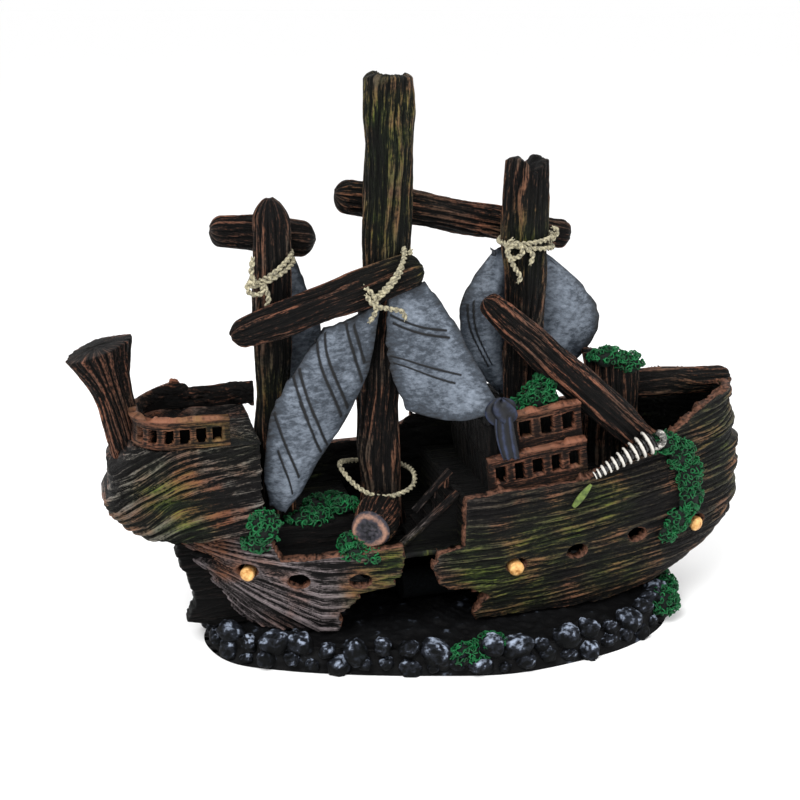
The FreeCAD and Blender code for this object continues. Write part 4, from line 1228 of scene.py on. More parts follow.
def cask_head():
    """The cask's near end: a disc whose height over its radius is a bell curve for the round
    bead near the rim, a little grit for the rough board inside, and a fall outside."""
    radius = np.linspace(0.05, 7.2, 34)[:, None]
    turn = np.linspace(0, 2 * np.pi, 72, endpoint=False)[None, :]
    axis, first, second = ring_frame(-cask_axis)
    bead = np.exp(-((radius - 5.7) / 1.3) ** 2)
    disc = np.stack([radius * np.cos(turn), radius * np.sin(turn), 0 * radius * turn], -1)
    grit = noise(disc / 0.9, 15)
    height = 0.9 + 0.8 * bead + 0.5 * grit * (1 - bead) - 1.6 * np.clip(radius - 6.2, 0, None)
    uneven = radius * (1 + 0.03 * np.sin(3 * turn + 0.7))
    points = (cask_end + height[..., None] * axis + (uneven * np.cos(turn))[..., None] * first
              + (uneven * np.sin(turn))[..., None] * second)
    ridge = 0.12 + 0.75 * bead + 0.45 * (grit - 0.3) * (1 - bead)
    return as_shape(points[::-1], points[::-1] * 1.0, ridge[::-1], closed=True, poles=True)


make_piece("deck_cask_head", cask_head(), [CASK_HEAD_PAINT], ["deck_cask"])


# %% [markdown]
# ### Companion ladder
# The ladder leans from the waist up to the foredeck: a dark side board with a pale rail on
# it, three short posts and five treads.  The board is a windowless gallery wall whose top
# slopes, so its planks match the rest, and the beams do for everything else.

# %% Companion ladder
LADDER_BOARD = 2.4
LADDER_FOOT, LADDER_HEAD, NEAR_STRING = -15.5, 6.0, -24.0


def string_height(x):
    """Height of the ladder's side above the deck: a straight slope up to the foredeck."""
    return 2.5 + 18.5 * (x - LADDER_FOOT) / (LADDER_HEAD - LADDER_FOOT)


def on_waist(points):
    """Stand a wall on the waist deck."""
    return points + [0, 0, DECK_LEVEL - 2.0]


near_panel = gallery_wall([(LADDER_FOOT, NEAR_STRING), (LADDER_HEAD, NEAR_STRING)], 21.0, [],
                          2, 7, 82, place=on_waist, top=string_height)
make_piece("companion_ladder_panel", near_panel, [DECK_AND_SHADE_PAINT],
           ["companion_ladder"], LADDER_BOARD)
FOOT_TOP = DECK_LEVEL - 2.0 + float(string_height(LADDER_FOOT))
HEAD_TOP = DECK_LEVEL - 2.0 + float(string_height(LADDER_HEAD))
rails = [beam((LADDER_FOOT, NEAR_STRING + 1, FOOT_TOP),
              (LADDER_HEAD, NEAR_STRING + 1, HEAD_TOP), 3.4, 2.4, 80),
         beam((-8, -13, HEAD_TOP - 10), (LADDER_HEAD, -13, HEAD_TOP + 5), 2.4, 2.2, 81)]
for i, x in enumerate((-5.0, 0.0, 4.5)):
    rails.append(beam((x, -13, DECK_LEVEL + 6 + x), (x, -13, HEAD_TOP - 1 + x), 1.8, 1.8, 84 + i))
make_piece("companion_ladder_rails", joined(rails), [HULL_PAINT],
           ["companion_ladder"])
TREAD_RISE, TREAD_GOING = 3.6, 3.9
treads = []
for i in range(5):
    x, tread = -10.5 + TREAD_GOING * i, DECK_LEVEL + 2 + TREAD_RISE * i
    treads.append(beam((x, -23, tread), (x, -10, tread), 4.6, 1.8, 100 + i))
make_piece("companion_ladder_treads", joined(treads), [DECK_AND_SHADE_PAINT],
           ["companion_ladder"])

# %% [markdown]
# ### Fin under the stern
# A thin upright of stacked plank ends fills the space below the overhang.  It could be a
# stack of small boards, but like the castle it is one block with a plan for each height,
# and noise along the heights makes the plank ends stand out unevenly.

# %% Fin under the stern
FIN_AFT, FIN_FORE = -100, -60
fin_heights = levels(10.0, 46.0)
fin_aft = np.interp(fin_heights, [9.9, 12, 19, 32, 46], [-86, -94, -92, -96, -99.5])
fin_aft = fin_aft + 2.6 * noise(np.stack([fin_heights / 1.9] + [0 * fin_heights] * 2, -1), 44)
fin_plan = raked(rounded_plan(FIN_AFT, FIN_FORE, 4.5, 1.5, 1.5, 0.8), FIN_AFT, FIN_FORE,
                 fin_aft)
make_piece("sternpost_fin_planks", block(fin_plan, fin_heights, 45, 1.2, 2.0),
           [DECK_AND_SHADE_PAINT], ["sternpost_fin"])

# %% [markdown]
# ### Gun muzzles
# Short gold stubs look out of some of the ports.  They could be set by eye, but each has
# to stand square to a curved side, so its direction comes from the hull's slope there:
# one step along the ship moves the side by that slope, and the outward line is across it.

# %% Gold-painted gun muzzles
gun_shapes = []
for i, (x, z) in enumerate((PORTS[0], PORTS[3], PORTS[6])):
    for side in (-1, 1):
        slope = float(half_breadth(x + 1, z) - half_breadth(x - 1, z)) / 2
        out = np.array([-slope, side * 1.0, 0.0]) / math.hypot(slope, 1)
        skin = np.array([x, side * float(half_breadth(x, z)), z - 1.2])
        inner_end, face = skin - out * 10, skin + out * 0.9
        gun_shapes.append(timber([(*inner_end, 2.9), (*face, 3.0)], 130 + i, 0.25, 1.5,
                                 step=0.8, rounds=(0.5, 1.2)))
make_piece("gun_muzzles", joined(gun_shapes), [GOLD_PAINT], ["cannons"])

# %% [markdown]
# ## Sails
# Cast sails are stiff sheets with a soft billow, worn corners and dents.  A cloth
# simulation would give finer folds, but not these, which were modelled in clay.  A coarse
# net of points gives the billow, and a curve through its rows and then its columns makes
# it smooth.  Pairs of incised lines stand for the seams between strips of canvas.

# %% Sail surfaces
SEAM_HALF_WIDTH, SEAM_CUT = 0.28, 0.55
DENT_DEPTH, FOLD_DEPTH = 0.9, 0.5
FRAYED_BRIM, PAINTED_SHADE_BRIM = 2.0, 5.5
SAIL_THICK = 2.0


def sail(name, net, lines, node, seed, rows=150, columns=110):
    """A sheet through a net of points.  lines are seams in the net's own shares, from (across, down)
    to (across, down).  A seam is a bell curve of the distance from its line; dents and folds are
    noise, and the outer millimetres are frayed and darkened as painted shade."""
    net = np.array(net, float)
    surface = smooth_line(net, rows)
    surface = smooth_line(surface.swapaxes(0, 1), columns).swapaxes(0, 1)
    u = np.linspace(0, 1, columns)[None, :] + np.zeros((rows, 1))
    v = np.linspace(0, 1, rows)[:, None] + np.zeros((1, columns))
    width = np.linalg.norm(surface[rows // 2, -1] - surface[rows // 2, 0])
    height = np.linalg.norm(surface[-1, columns // 2] - surface[0, columns // 2])
    groove = np.zeros((rows, columns))
    for u0, v0, u1, v1 in lines:
        du, dv = (u1 - u0) * width, (v1 - v0) * height
        across, down = (u - u0) * width, (v - v0) * height
        t = np.clip((across * du + down * dv) / (du * du + dv * dv), 0, 1)
        off = np.hypot(across - t * du, down - t * dv)
        groove = np.maximum(groove, np.exp(-(off / SEAM_HALF_WIDTH) ** 2))
    margin = np.minimum(np.minimum(u, 1 - u) * width, np.minimum(v, 1 - v) * height)
    ragged = noise(np.stack([u * width / 3, v * height / 3, 0 * u], -1), seed)
    dent = noise(np.stack([u * width / 7, v * height / 9, 0 * u], -1), seed + 1)
    fold = noise(np.stack([u * width / 5, v * height / 16, 0 * u], -1), seed + 2)
    normal = normals_of(surface, False)
    towards = np.sign(normal[..., 1].mean())
    surface = surface - normal * (SEAM_CUT * groove - DENT_DEPTH * (dent - 0.5)
                                  - FOLD_DEPTH * (fold - 0.5))[..., None]
    inward = surface.mean((0, 1)) - surface
    inward /= np.linalg.norm(inward, axis=-1, keepdims=True)
    frayed = 1 - np.clip(margin / FRAYED_BRIM, 0, 1)
    surface = surface + inward * (frayed * ragged)[..., None]
    # Painted shade: the ridge, and so the paint, darkens over the outer 5.5 mm towards each edge.
    painted_shade_edge = 1 - np.clip(margin / PAINTED_SHADE_BRIM, 0, 1)
    ridge = 0.46 + 0.24 * dent + 0.12 * fold - 1.3 * groove - 0.42 * painted_shade_edge ** 1.5
    grain = np.stack([v * height, u * width, 0 * u], -1)
    shape = as_shape(surface, grain, ridge)
    if towards > 0:
        shape["quads"] = shape["quads"][:, ::-1]
    return make_piece(name, shape, [SAIL_PAINT], [node], SAIL_THICK)


# %% The four sails
sail("main_sail_aft_cloth",
     [[(-41, -15, 125.5), (-32, -14, 128.5), (-20, -12.0, 133)],
      [(-52.8, -15, 111), (-40, -16.5, 108), (-25, -11.5, 107)],
      [(-61.2, -16, 97), (-48, -18, 92), (-34.2, -12, 88.5)],
      [(-65, -15.5, 76), (-54, -18, 75), (-43, -13, 77)],
      [(-62.6, -13, 60), (-57.5, -15, 57.5), (-52, -13, 62)]],
     [(0.02, 0.07, 0.88, 0.45), (0.07, 0.03, 0.92, 0.41), (0.46, 0.02, 0.95, 0.28),
      (0.61, 0.04, 0.90, 0.20), (0.02, 0.27, 0.47, 0.49), (0.05, 0.23, 0.52, 0.46),
      (0.03, 0.50, 0.65, 0.81), (0.20, 0.66, 0.61, 0.90), (0.27, 0.40, 0.89, 0.69),
      (0.33, 0.37, 0.95, 0.65)],
     "main_sail_aft", 140)
sail("main_sail_fore_cloth",
     [[(-18, -13.5, 135.5), (-11, -13.5, 138), (-4.5, -14.5, 140.5)],
      [(-18.8, -12.5, 118.6), (-6, -16, 121), (6.2, -15, 125.6)],
      [(-17, -12.5, 107), (-1, -18, 106), (14.8, -20, 107.9)],
      [(-11.4, -13.5, 92), (5, -20, 88.5), (22, -26.5, 92.5)]],
     [(0.08, 0.14, 0.83, 0.37), (0.12, 0.20, 0.82, 0.42), (0.05, 0.48, 0.76, 0.68),
      (0.07, 0.56, 0.66, 0.73)],
     "main_sail_fore", 144)
sail("fore_sail_cloth",
     [[(29, 9, 146), (33, 10, 147), (38.5, 10, 147), (44, 10, 147), (51, 9, 143)],
      [(17, 5, 132), (27, 1, 133), (38.5, 8, 134), (54, 1, 133), (66, 5, 129)],
      [(14, 5, 117.5), (25, 0, 117), (38.5, 8, 117), (56, 0, 117), (72, 5, 117)],
      [(20, 6, 102), (29, 2, 102), (38.5, 8, 103), (50, 2, 103), (67, 6, 103.5)],
      [(31, 6, 89), (35, 6, 89), (38.5, 8, 90), (44, 6, 91), (51, 6, 92)]],
     [(0.06, 0.35, 0.16, 0.75), (0.10, 0.33, 0.20, 0.74)], "fore_sail", 148)
sail("mizzen_sail_cloth",
     [[(-56, 8.0, 150), (-52, 8, 149), (-47.5, 9, 148)],
      [(-57, 7.6, 134), (-50, 6, 134), (-42.5, 8, 135)],
      [(-58, 7.4, 116), (-48, 5, 117), (-37.5, 8, 118)],
      [(-59, 7.4, 97), (-52, 8, 96), (-45, 8, 97)]], [], "mizzen_sail", 152, 90, 60)

# %% [markdown]
# ### Gathered corner of the main sail
# The sail's loose corner is gathered into an indigo knot with a pleated tail below it.
# Sculpting it would be the usual way, but both are simple waves: folds wind round a ball
# as a sine of longitude plus latitude, and pleats stand round a strip as a cosine.

# %% Gathered corner of the main sail
def gathered():
    """A knot of cloth: a ball whose radius swells and sinks in folds that wind round it."""
    unit, lat, lon = unit_ball(40, 64, 0.08)
    folds = 0.5 + 0.5 * np.sin(5 * lon + 3.2 * lat)
    size = 0.92 + 0.26 * folds
    points = np.array([20.5, -28.0, 93.6]) + unit * size[..., None] * [5.4, 3.4, 4.7]
    return as_shape(points, points * 1.0, 0.15 + 0.6 * folds, closed=True, poles=True)


def hanging_tail():
    """The cloth below the knot: a flat tube thrown into seven upright pleats."""
    v = np.linspace(0, 1, 50)[:, None]
    u = np.linspace(0, 2 * np.pi, 80, endpoint=False)[None, :]
    middle = 20.5 + 3.4 * v**1.6
    half = 3.4 + 0.5 * np.sin(3 * v)
    pleat = 0.5 + 0.5 * np.cos(u * 7 + 1.5 * v)
    x = middle + half * np.cos(u) * (1 - 0.1 * pleat)
    y = -30.0 + 1.5 * np.sin(u) * (1 - 0.4 * pleat)
    z = 93 - 16.0 * v - 1.2 * pleat * v
    points = np.stack(np.broadcast_arrays(x, y, z), -1)
    ridge = (0.1 + 0.75 * pleat + 0 * v)[::-1]
    return as_shape(points[::-1], points * 1.0, ridge, closed=True, poles=True)


make_piece("sail_knot_folds", joined([gathered(), hanging_tail()]), [DRAPE_PAINT],
           ["sail_knot"])

# %% [markdown]
# ## Twine
# Each lashing is real two-strand twine, about 2 mm thick.  A bevelled curve with a bump
# map would look like wire in close view.  Here the path is a smooth curve, and two round
# strands wind about it half a turn apart, which gives the lumpy look of twisted yarn.

# %% Strands about a path
STRAND_OFFSET = 0.5
STRAND_RADIUS = 0.56
LAY = 4.2                             # length of one whole turn of a strand
TWINE_STEP = 0.55


def twine(points, steady, closed=False):
    """Two strands wound round a path.  steady is a direction the path never follows; with
    the path's own direction it gives the two axes that the strands turn about."""
    path = evenly(smooth_line(points, 300, closed), TWINE_STEP, closed)
    if closed:
        ahead = np.roll(path, -1, 0) - np.roll(path, 1, 0)
    else:
        ahead = np.gradient(path, axis=0)
    ahead /= np.linalg.norm(ahead, axis=1, keepdims=True)
    first = np.cross(ahead, np.array(steady, float))
    first /= np.linalg.norm(first, axis=1, keepdims=True)
    second = np.cross(ahead, first)
    turns = max(1, round(len(path) * TWINE_STEP / LAY))
    wind = np.linspace(0, 2 * np.pi * turns, len(path), endpoint=not closed)
    ring = np.linspace(0, 2 * np.pi, 8, endpoint=False)[None, :]
    taper = np.ones(len(path))
    if not closed:
        index = np.arange(len(path))
        taper = np.clip(np.minimum(index, index[::-1]) / 2.0, 0.25, 1)
    thick = STRAND_RADIUS * taper[:, None]
    strands = []
    for start in (0.0, np.pi):
        a = STRAND_OFFSET * np.cos(wind + start)[:, None] + thick * np.cos(ring)
        b = STRAND_OFFSET * np.sin(wind + start)[:, None] + thick * np.sin(ring)
        surface = path[:, None] + a[..., None] * first[:, None] + b[..., None] * second[:, None]
        along = np.arange(len(path))[:, None] * TWINE_STEP
        grain = np.stack(np.broadcast_arrays(along, a, b), -1)
        ridge = np.clip(np.hypot(a, b) / (STRAND_OFFSET + STRAND_RADIUS), 0, 1)
        if closed:
            surface, grain, ridge = (np.concatenate([q, q[:1]]) for q in (surface, grain, ridge))
        strands.append(as_shape(surface, grain, ridge, closed=True, poles=not closed))
    return joined(strands)


# %% Lashings
def hoop(centre, across, through, tilt):
    """Points of a loop round timbers: an ellipse, half across wide and half through deep,
    tilted about the fore-and-aft view."""
    turn = np.linspace(0, 2 * np.pi, 16, endpoint=False)
    wide = np.array([math.cos(tilt), 0, -math.sin(tilt)])
    return (np.array(centre) + across * np.cos(turn)[:, None] * wide
            + through * np.sin(turn)[:, None] * np.array([0, 1, 0]))


def loop_axis(tilt):
    """The direction square to a tilted hoop."""
    return (math.sin(tilt), 0, math.cos(tilt))


def tied(name, hoops, tails, node):
    """A lashing: closed hoops and loose tails as one piece."""
    parts = [twine(hoop(c, a, t, tilt), loop_axis(tilt), True) for c, a, t, tilt in hoops]
    parts += [twine(points, (0.1, 1.0, 0.15)) for points in tails]
    make_piece(name, joined(parts), [TWINE_FIBRE], [node])


tied("mizzen_lashing_twine",
     [((-57, 0.5, 145.5), 8.7, 9.3, -0.62), ((-57, 0.5, 143.5), 8.8, 9.2, -0.5)],
     [[(-64.5, -7.5, 151), (-65.4, -8.6, 145), (-64, -9.6, 141.5)],
      [(-64, -9.6, 141.5), (-67, -10, 142), (-66.4, -10.4, 138.6), (-62.5, -10.6, 138.4),
       (-61.5, -10.2, 141), (-60, -10.0, 136), (-62, -9.8, 131), (-65.5, -9.4, 128),
       (-69, -10.4, 120)]],
     "mizzen_lashing")
tied("main_lashing_twine",
     [((-18.5, -5.0, 142), 12.1, 14.9, -0.85), ((-19.1, -5.0, 140), 12.2, 14.9, -0.8)],
     [[(-28, -16.5, 141), (-24.5, -19.0, 137), (-24, -19.6, 132), (-26.5, -19.0, 127.5)],
      [(-27.5, -18.5, 138), (-24.5, -20.2, 134), (-19.5, -20.0, 132.5), (-14.5, -19.4, 131),
       (-13, -19.2, 127.5)],
      [(-12, -9.0, 150.5), (-10, -11, 149), (-8.3, -10.0, 151.5)]], "main_lashing")
tied("fore_lashing_twine",
     [((38.5, 0.6, 149), 9.9, 10.4, 0.1), ((38.5, 0.6, 151.2), 9.8, 10.3, -0.12)],
     [[(30.5, -8.5, 153), (27.5, -9.5, 150), (29, -10.4, 146), (33, -10.8, 147.5),
       (31, -10.8, 151.5),
       (27.6, -10.4, 148.5), (30, -10.4, 143), (32.5, -10.6, 139), (31.5, -10.4, 136.5)],
      [(34, -10.0, 150), (37, -10.8, 147), (36, -11.0, 143)],
      [(46, -5, 150), (48.5, -5.5, 154), (46, -5.5, 156)]], "fore_lashing")
make_piece("mast_foot_twine",
           twine([(-34, -2, 69), (-30, -9, 63.5), (-23, -13, 59.6), (-15, -13, 59.2),
                  (-7.5, -9, 60.5), (-5, -1, 63), (-8, 9, 63), (-18, 11.5, 64),
                  (-28, 8, 66.5)], (0.05, 0.1, 1.0), True),
           [TWINE_FIBRE], ["mast_foot_rope"])

# %% [markdown]
# ## Bed and stones
# The bed is a low slab of black rock on which the ship sits.  A sculpted plane would give
# its top, but the slab has to be closed below too.  So its outline is drawn inwards, ring
# by ring, under it and over it, and noise roughens everything above the foot.

# %% Rock bed
BED_TOP = np.array(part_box("seabed_base")[1])[2] / MM
BED_CARVING = 2.6
BED_OUTLINE = [(-87, 0), (-79, -17), (-60, -28), (-37, -37), (-10, -45), (18, -51), (46, -49),
               (70, -43), (90, -30), (102, -8), (102, 14), (88, 32), (62, 44), (30, 51),
               (-6, 49), (-44, 41), (-70, 29), (-84, 15)]
bed_line = evenly(smooth_line(BED_OUTLINE, 900, True), 1.0, True)
if np.cross(bed_line[0], bed_line[len(bed_line) // 4]) < 0:
    bed_line = bed_line[::-1]


def bed_shape():
    """The slab: its outline drawn in a little towards the top, then roughened with noise."""
    shrink = np.concatenate([np.linspace(0.03, 0.97, 12), np.linspace(1, 0.955, 18),
                             np.linspace(0.93, 0.03, 60)])
    level = np.concatenate([np.zeros(12), np.linspace(0, BED_TOP, 18), np.full(60, BED_TOP)])
    xy = bed_line[None] * shrink[:, None, None]
    points = np.concatenate([xy, np.broadcast_to(level[:, None, None], xy.shape[:2] + (1,))], -1)
    lump = 0.6 * noise(points / 5.0, 160) + 0.4 * noise(points / 1.9, 161)
    carve = np.where(level[:, None] > 0.01, BED_CARVING * (1 - lump), 0.0)
    points = points - normals_of(points, True) * carve[..., None]
    points[..., 2] = np.maximum(points[..., 2], 0.0)
    return as_shape(points, points * 1.0, 1.5 * (lump - 0.3), closed=True, poles=True)


make_piece("seabed_rock", bed_shape(), [BED_PAINT], ["seabed_base"])

# %% [markdown]
# ### Stones
# Two rows of chipped stones are set round the bed, no two alike.  Copies of a few stones
# would repeat in so close a row.  Each one is a ball pushed in and out by its own noise,
# squared a little, flattened, leant and turned, and its crown takes the pale brush.

# %% Stones
def stones(places, seed):
    """Stones at (x, y, z, size) places: a unit ball times three waves of noise, scaled to
    uneven axes, then leant about one axis and turned about the upright one."""
    unit = unit_ball(15, 22, 0.1)[0]
    found = []
    draw = np.random.default_rng(seed)
    for place in places:
        shift = draw.uniform(0, 50, 3)
        bump = 0.62 + 0.36 * noise(unit * 1.1 + shift, seed)
        bump = bump + 0.3 * noise(unit * 2.6 + shift, seed + 1)
        bump = bump + 0.12 * noise(unit * 5.5 + shift, seed + 3)
        angular = np.sign(unit) * np.abs(unit) ** 0.85
        turn = draw.uniform(0, 2 * np.pi)
        lean = draw.uniform(-0.5, 0.5)
        half = draw.uniform([0.9, 0.72, 0.7], [1.2, 0.9, 0.92])
        x, y, z = (angular * bump[..., None] * half).transpose(2, 0, 1)
        c, s = math.cos(lean), math.sin(lean)
        x, z = x * c - z * s, x * s + z * c
        c, s = math.cos(turn), math.sin(turn)
        x, y = x * c - y * s, x * s + y * c
        ball = np.stack([x, y, z], -1)
        points = place[:3] + ball * place[3]
        points[..., 2] = np.maximum(points[..., 2], 0.0)
        pits = noise(ball * 4.5 + shift, seed + 2)
        crown = np.clip(0.22 + 0.4 * ball[..., 2] + 1.3 * (bump - 1.0) + 0.9 * (pits - 0.5), 0, 1)
        found.append(as_shape(points, points * 1.0, crown, closed=True, poles=True))
    return joined(found)


def stone_row(count, scale, level, girth, phase):
    """Places of a row of stones round the bed, uneven in size and height."""
    at = (np.arange(count) + phase) / count * len(bed_line)
    xy = bed_line[at.astype(int) % len(bed_line)] * scale
    i = np.arange(count)
    return np.stack([xy[:, 0], xy[:, 1], level + 1.5 * np.cos(1.7 * i),
                     girth * (1 + 0.28 * np.sin(2.3 * i))], 1)


make_piece("rim_stones_slate",
           joined([stones(stone_row(44, 0.935, 9.0, 4.5, 0.0), 170),
                   stones(stone_row(52, 0.965, 3.4, 3.5, 0.5), 171)]),
           [STONE_PAINT], ["rim_stones"])
print("stones:", 44 + 52)

# %% [markdown]
# ## Moss
# The green is a curled plastic moss: an open lace of fine loops, glued on in clumps.  Hair particles
# would give straight blades, so one small ring is turned and bent in hundreds of ways by rotation
# matrices, and each ring sits on a cushion's surface.  A dark mound under them is painted shade for
# the depth of the clump.

# %% Curled moss
CURLS_PER_SQUARE_MM = 0.42
THREAD = 0.3                          # half the thread's thickness
BEND_SHARE = 0.45
MOUND_SHARE = 0.86


def cushion_points(centre, half, count, draw):
    """Random points on an ellipsoid with their outward directions."""
    way = draw.normal(size=(count, 3))
    way /= np.linalg.norm(way, axis=1, keepdims=True)
    return np.array(centre) + way * np.array(half), way / np.array(half)


def curls(at, size, draw):
    """Small bent rings at the given places: a ring of radius size with a round section,
    turned by a random rotation and lifted into a saddle."""
    turn = np.linspace(0, 2 * np.pi, 9, endpoint=False)[:, None]
    ring = np.linspace(0, 2 * np.pi, 4, endpoint=False)[None, :]
    reach = size[:, None, None] + THREAD * np.cos(ring)[None]
    saddle = BEND_SHARE * size[:, None, None] * np.sin(2 * turn)[None]
    local = np.stack([reach * np.cos(turn)[None], reach * np.sin(turn)[None],
                      THREAD * np.sin(ring)[None] + saddle], -1)
    basis, _ = np.linalg.qr(draw.normal(size=(len(at), 3, 3)))
    basis = basis * np.sign(np.linalg.det(basis))[:, None, None]
    points = np.einsum("nrcx,nxy->nrcy", local, basis) + at[:, None, None, :]
    one = grid_faces(10, 4, True) % 36
    quads = (one[None] + (np.arange(len(at)) * 36)[:, None, None]).reshape(-1, 4)[:, ::-1]
    flat = points.reshape(-1, 3)
    return {"points": flat, "quads": quads, "tris": np.zeros((0, 3), int), "grain": flat.copy(),
            "ridge": np.ones(len(flat))}


def mound(centre, half):
    """A dark, lumpy ball under the curls, painted shade for the clump's depth."""
    unit = unit_ball(20, 30, 0.1)[0]
    lump = 0.85 + 0.25 * noise(unit * 2.4 + centre, 180)
    points = centre + unit * half * lump[..., None]
    return as_shape(points, points * 1.0, lump, closed=True, poles=True)


def moss(name, cushions, node, seed, hugging=False):
    """A clump of moss on cushions of (centre, half sizes).  Where it hugs the ship's side,
    curls behind the planking are left out."""
    draw = np.random.default_rng(seed)
    shapes, mounds = [], []
    for centre, half in cushions:
        centre, half = np.array(centre, float), np.array(half, float)
        area = 4 * np.pi * (half[0] * half[1] * half[2]) ** (2 / 3)
        at, way = cushion_points(centre, half, int(area * CURLS_PER_SQUARE_MM), draw)
        if hugging:
            at = at[-at[:, 1] > half_breadth(at[:, 0], at[:, 2]) - 0.4]
        else:
            at = at[way[:, 2] > -0.3 * np.abs(way).max(1)]
        shapes.append(curls(at, draw.uniform(0.75, 1.25, len(at)), draw))
        mounds.append(mound(centre, half * MOUND_SHARE))
    piece = joined(shapes + mounds)
    made = make_piece(name, piece, [MOSS_FLOCK, MOSS_SHADE], [node])
    lace = sum(len(s["quads"]) for s in shapes)
    index = (np.arange(len(made.data.polygons)) >= lace).astype(np.int32)
    made.data.polygons.foreach_set("material_index", index)
    return made


# %% Clumps of moss
def on_side(x, z, half):
    """A cushion of moss growing on the broken side of the hull."""
    return ((x, -float(half_breadth(x, z)) - 0.2, z), half)


moss("moss_stern_curls", [on_side(-66, 57, (6.5, 2.6, 6.5)), on_side(-69, 51, (5, 2.2, 4))],
     "moss_stern", 190, True)
moss("moss_hatch_curls", [((-47, -9, 52), (9, 6, 2.6)), ((-38, 2, 52), (9, 8, 3.2)),
                          ((-33, -6, 54), (5, 5, 3))], "moss_hatch", 191)
moss("moss_waist_curls", [((-34, -27, 44), (5.5, 3.5, 3.6)), ((-28, -28.5, 42.5), (4, 2.6, 3))],
     "moss_waist", 192)
moss("moss_coaming_curls", [((-35, -22, 45), (4, 4, 4.5))], "moss_coaming", 193)
moss("moss_cabin_curls", [((29, -18, 90.5), (8, 5, 3.4)), ((38, -18, 94), (7, 5, 6)),
                          ((43, -15, 99), (5, 5, 5))], "moss_cabin", 194)
moss("moss_stump_curls", [((70, -7, 104.5), (7, 4.5, 4)), ((79, -8, 101.5), (6, 4, 4.5))],
     "moss_stump", 195)
moss("moss_bow_curls", [on_side(84, 77, (6, 2.6, 4)), on_side(92, 71, (5.5, 2.6, 6)),
                        on_side(97, 62, (5.5, 2.4, 7)), on_side(98, 52, (5, 2.4, 6.5)),
                        on_side(93, 44, (5, 2.2, 5)), on_side(89, 39, (4, 2.0, 3.5))],
     "moss_bow", 196, True)
moss("moss_bed_curls", [((4, -46, 7), (8, 3, 5)), ((12, -45, 11), (6, 5, 2)),
                        ((91, -27, 7), (6, 5, 7)), ((98, -14, 8), (4, 7, 6))], "moss_bed", 197)

# %% [markdown]
# ## Turret shell
# The shell is a cone on which ribs stand out and grow with it, as on a wentletrap, with a
# rolled lip at the mouth.  A screw modifier would make the spiral, but not the ribs'
# lean.  Here a narrow wave along the cone, shifted by a share of the turn, does both.

# %% Shell
SHELL_APEX = np.array([55.5, -33.4, 67.4])
SHELL_AXIS = np.array([28.0, -1.0, 15.5])
RIBS = 10
SHELL_REACH = 0.80


def turret():
    """A cone whose radius is its growth times one plus a narrow raised wave per rib; the
    ribs lean, because each is part of a spiral."""
    t = np.linspace(0, 1, 220)[:, None]
    turn = np.linspace(0, 2 * np.pi, 48, endpoint=False)[None, :]
    growth = t**0.8
    wave = (growth * RIBS + turn / (2 * np.pi) * 0.35) % 1.0
    rib = np.exp(-((wave - 0.5) / 0.27) ** 2)
    radius = (1.3 + 2.9 * t) * (0.78 + 0.42 * rib)
    first, second = ring_frame(SHELL_AXIS)[1:]
    points = (SHELL_APEX + t[..., None] * SHELL_AXIS * SHELL_REACH
              + (radius * np.cos(turn))[..., None] * first
              + (radius * np.sin(turn))[..., None] * second)
    # The ridge is high on each rib, which the shell paint turns pale: partly the shell's colour,
    # partly painted highlight.
    return as_shape(points, points * 1.0, 0.05 + 0.95 * rib, closed=True, poles=True)


def lip():
    """The mouth's rolled edge: a thick ring left open at the top, swept as a tube."""
    turn = np.linspace(-2.2, 2.9, 60)[:, None]
    ring = np.linspace(0, 2 * np.pi, 16, endpoint=False)[None, :]
    thick = 1.35 * np.clip(np.minimum(turn + 2.3, 3.0 - turn) * 2.2, 0.2, 1) + 0 * ring
    out = 2.7 + thick * np.cos(ring)
    view_x, view_z = np.array([0.88, 0.0, 0.47]), np.array([-0.47, 0.0, 0.88])
    middle = SHELL_APEX + SHELL_AXIS * (SHELL_REACH + 0.03) - [0, 1.6, 0]
    points = (middle + (out * np.sin(turn))[..., None] * view_x
              - (out * np.cos(turn))[..., None] * view_z
              + (thick * np.sin(ring))[..., None] * np.array([0.0, -1.0, 0.0]))
    return as_shape(points[::-1], points * 1.0, 0.62 + 0 * out, closed=True, poles=True)


make_piece("turret_shell_ribs", joined([turret(), lip()]), [SHELL_PAINT_AND_HIGHLIGHT],
           ["turret_shell"])

# %% [markdown]
# ## Weed
# One flat olive blade stands beside the shell.  A textured plane would vanish edge on, so
# it's a thin solid: an ellipse carried along a short line, wide in the middle.

# %% Weed
def blade():
    """A flat leaf: a lens section carried along a short line that leans forward."""
    t = np.linspace(0, 1, 40)[:, None]
    turn = np.linspace(0, 2 * np.pi, 20, endpoint=False)[None, :]
    centre = np.array([47.0, -35.2, 56.6]) + t[..., None] * np.array([6.6, -0.2, 8.4])
    wide = 1.5 * np.sin(np.pi * (0.18 + 0.72 * t)) * np.cos(turn)
    thin = 0.7 * np.sin(turn) * np.ones_like(t)
    points = (centre + wide[..., None] * np.array([0.78, 0, -0.62])
              + thin[..., None] * np.array([0, -1.0, 0]))
    ridge = 0.5 + 0.3 * np.cos(turn) + 0 * t
    return as_shape(points, points * 1.0, ridge, closed=True, poles=True)


make_piece("weed_leaf", blade(), [WEED_PAINT], ["weed_blade"])

# %% [markdown]
# ## Air line
# Air comes in through a barb, along a tube, and out of an air stone in the hold.  They could be built
# again, but all three are plain turned parts, so the model's own nodes stay, with finishes: black
# nylon for the barb and tube, and grit for the stone, darkened to near black as painted shade of the
# hold.

# %% Carried-over nodes
for node_name, finish in (("air_inlet", FITTING_PLASTIC), ("air_tube", FITTING_PLASTIC),
                          ("air_stone", AIR_GRIT_PAINTED_SHADE)):
    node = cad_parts[node_name]
    node.data.materials.clear()
    node.data.materials.append(finish)
    print(node_name, "keeps its turned shape")

# %% [markdown]
# ## Floor, light and camera
# The piece stands on a white floor, under one big soft lamp high on the left, a fainter
# one on the right, and a white sky, which together leave a soft shadow.  A ready-made sky
# picture could light it too, but two lamps are easier to move and to understand.

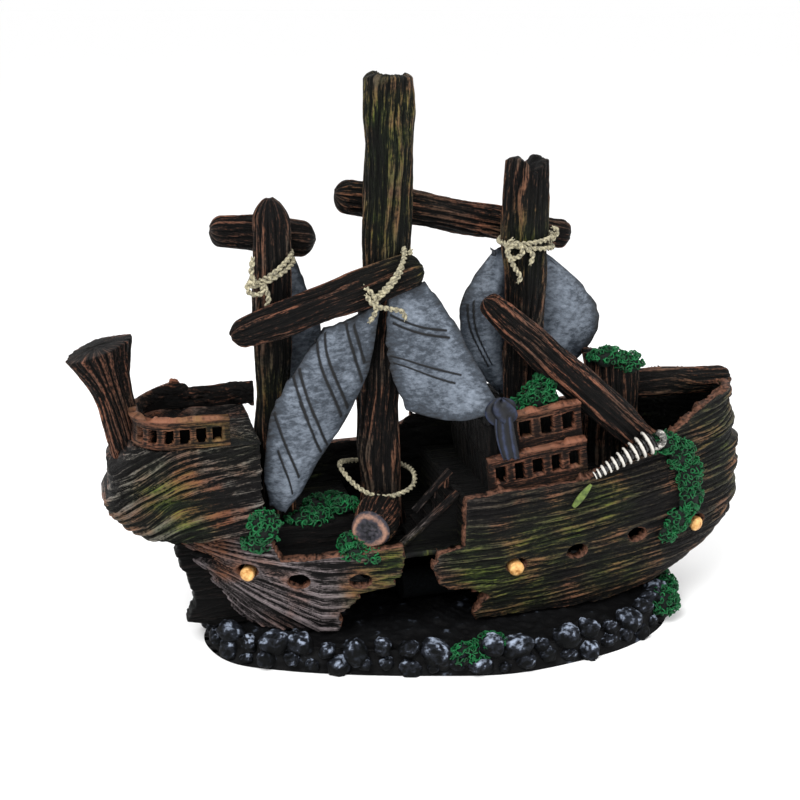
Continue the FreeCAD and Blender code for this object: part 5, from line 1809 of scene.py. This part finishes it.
# %% Stage
FLOOR_HALF = 40.0                     # metres, so that the floor reaches the horizon
floor_mesh = bpy.data.meshes.new("pale_floor")
floor_mesh.from_pydata([(x * FLOOR_HALF, y * FLOOR_HALF, 0)
                        for x, y in ((-1, -1), (1, -1), (1, 1), (-1, 1))], [], [(0, 1, 2, 3)])
floor = bpy.data.objects.new("pale_floor", floor_mesh)
bpy.context.scene.collection.objects.link(floor)
floor_material, floor_tree = new_material("white_paper_floor")
floor_shader = add(floor_tree, "ShaderNodeBsdfPrincipled",
                   {"Base Color": linear("#ffffff"), "Roughness": 0.95,
                    "Specular IOR Level": 0.1})
add(floor_tree, "ShaderNodeOutputMaterial", {"Surface": floor_shader.outputs[0]})
floor_mesh.materials.append(floor_material)

world = bpy.data.worlds.new("white_sky")
bpy.context.scene.world = world
world.use_nodes = True
world.node_tree.nodes["Background"].inputs[0].default_value = (1.0, 1.0, 1.0, 1.0)
world.node_tree.nodes["Background"].inputs[1].default_value = 1.0
bpy.context.scene.view_settings.view_transform = "Standard"


def lamp(name, place, aim, size, power):
    """A square area lamp at a place, turned towards an aim."""
    light = bpy.data.lights.new(name, "AREA")
    light.energy = power
    light.size = size
    holder = bpy.data.objects.new(name, light)
    bpy.context.scene.collection.objects.link(holder)
    holder.location = place
    holder.rotation_euler = (Vector(aim) - Vector(place)).to_track_quat("-Z", "Y").to_euler()


LIT_POINT = (0, 0, 0.08)
lamp("key_softbox", (-0.45, -0.55, 0.85), LIT_POINT, size=0.5, power=9.0)
lamp("fill_softbox", (0.8, -0.7, 0.5), LIT_POINT, size=0.7, power=4.0)
print("lamps:", [light.name for light in bpy.data.lights])

# %% [markdown]
# ### Camera
# The camera stands a little aft of abeam and looks slightly down on the piece.  It could
# be placed by hand and aimed with a constraint, but two angles and a distance from the
# aim say where it is in words: its direction is (sin a cos e, -cos a cos e, sin e).

# %% Camera
AZIMUTH, ELEVATION = math.radians(-15.0), math.radians(18.0)
CAMERA_DISTANCE = 0.460
AIM = Vector((-0.010, 0.0, 0.092))
camera_data = bpy.data.cameras.new("camera")
camera_data.sensor_width = 36.0       # millimetres, as a full-frame camera's
camera_data.lens = 55.04              # millimetres
camera = bpy.data.objects.new("camera", camera_data)
bpy.context.scene.collection.objects.link(camera)
back = Vector((math.sin(AZIMUTH) * math.cos(ELEVATION),
               -math.cos(AZIMUTH) * math.cos(ELEVATION), math.sin(ELEVATION)))
camera.location = AIM + back * CAMERA_DISTANCE
camera.rotation_euler = (-back).to_track_quat("-Z", "Y").to_euler()
camera_data.clip_start = 0.01
bpy.context.scene.camera = camera
print("camera at", [round(v, 3) for v in camera.location], "m")
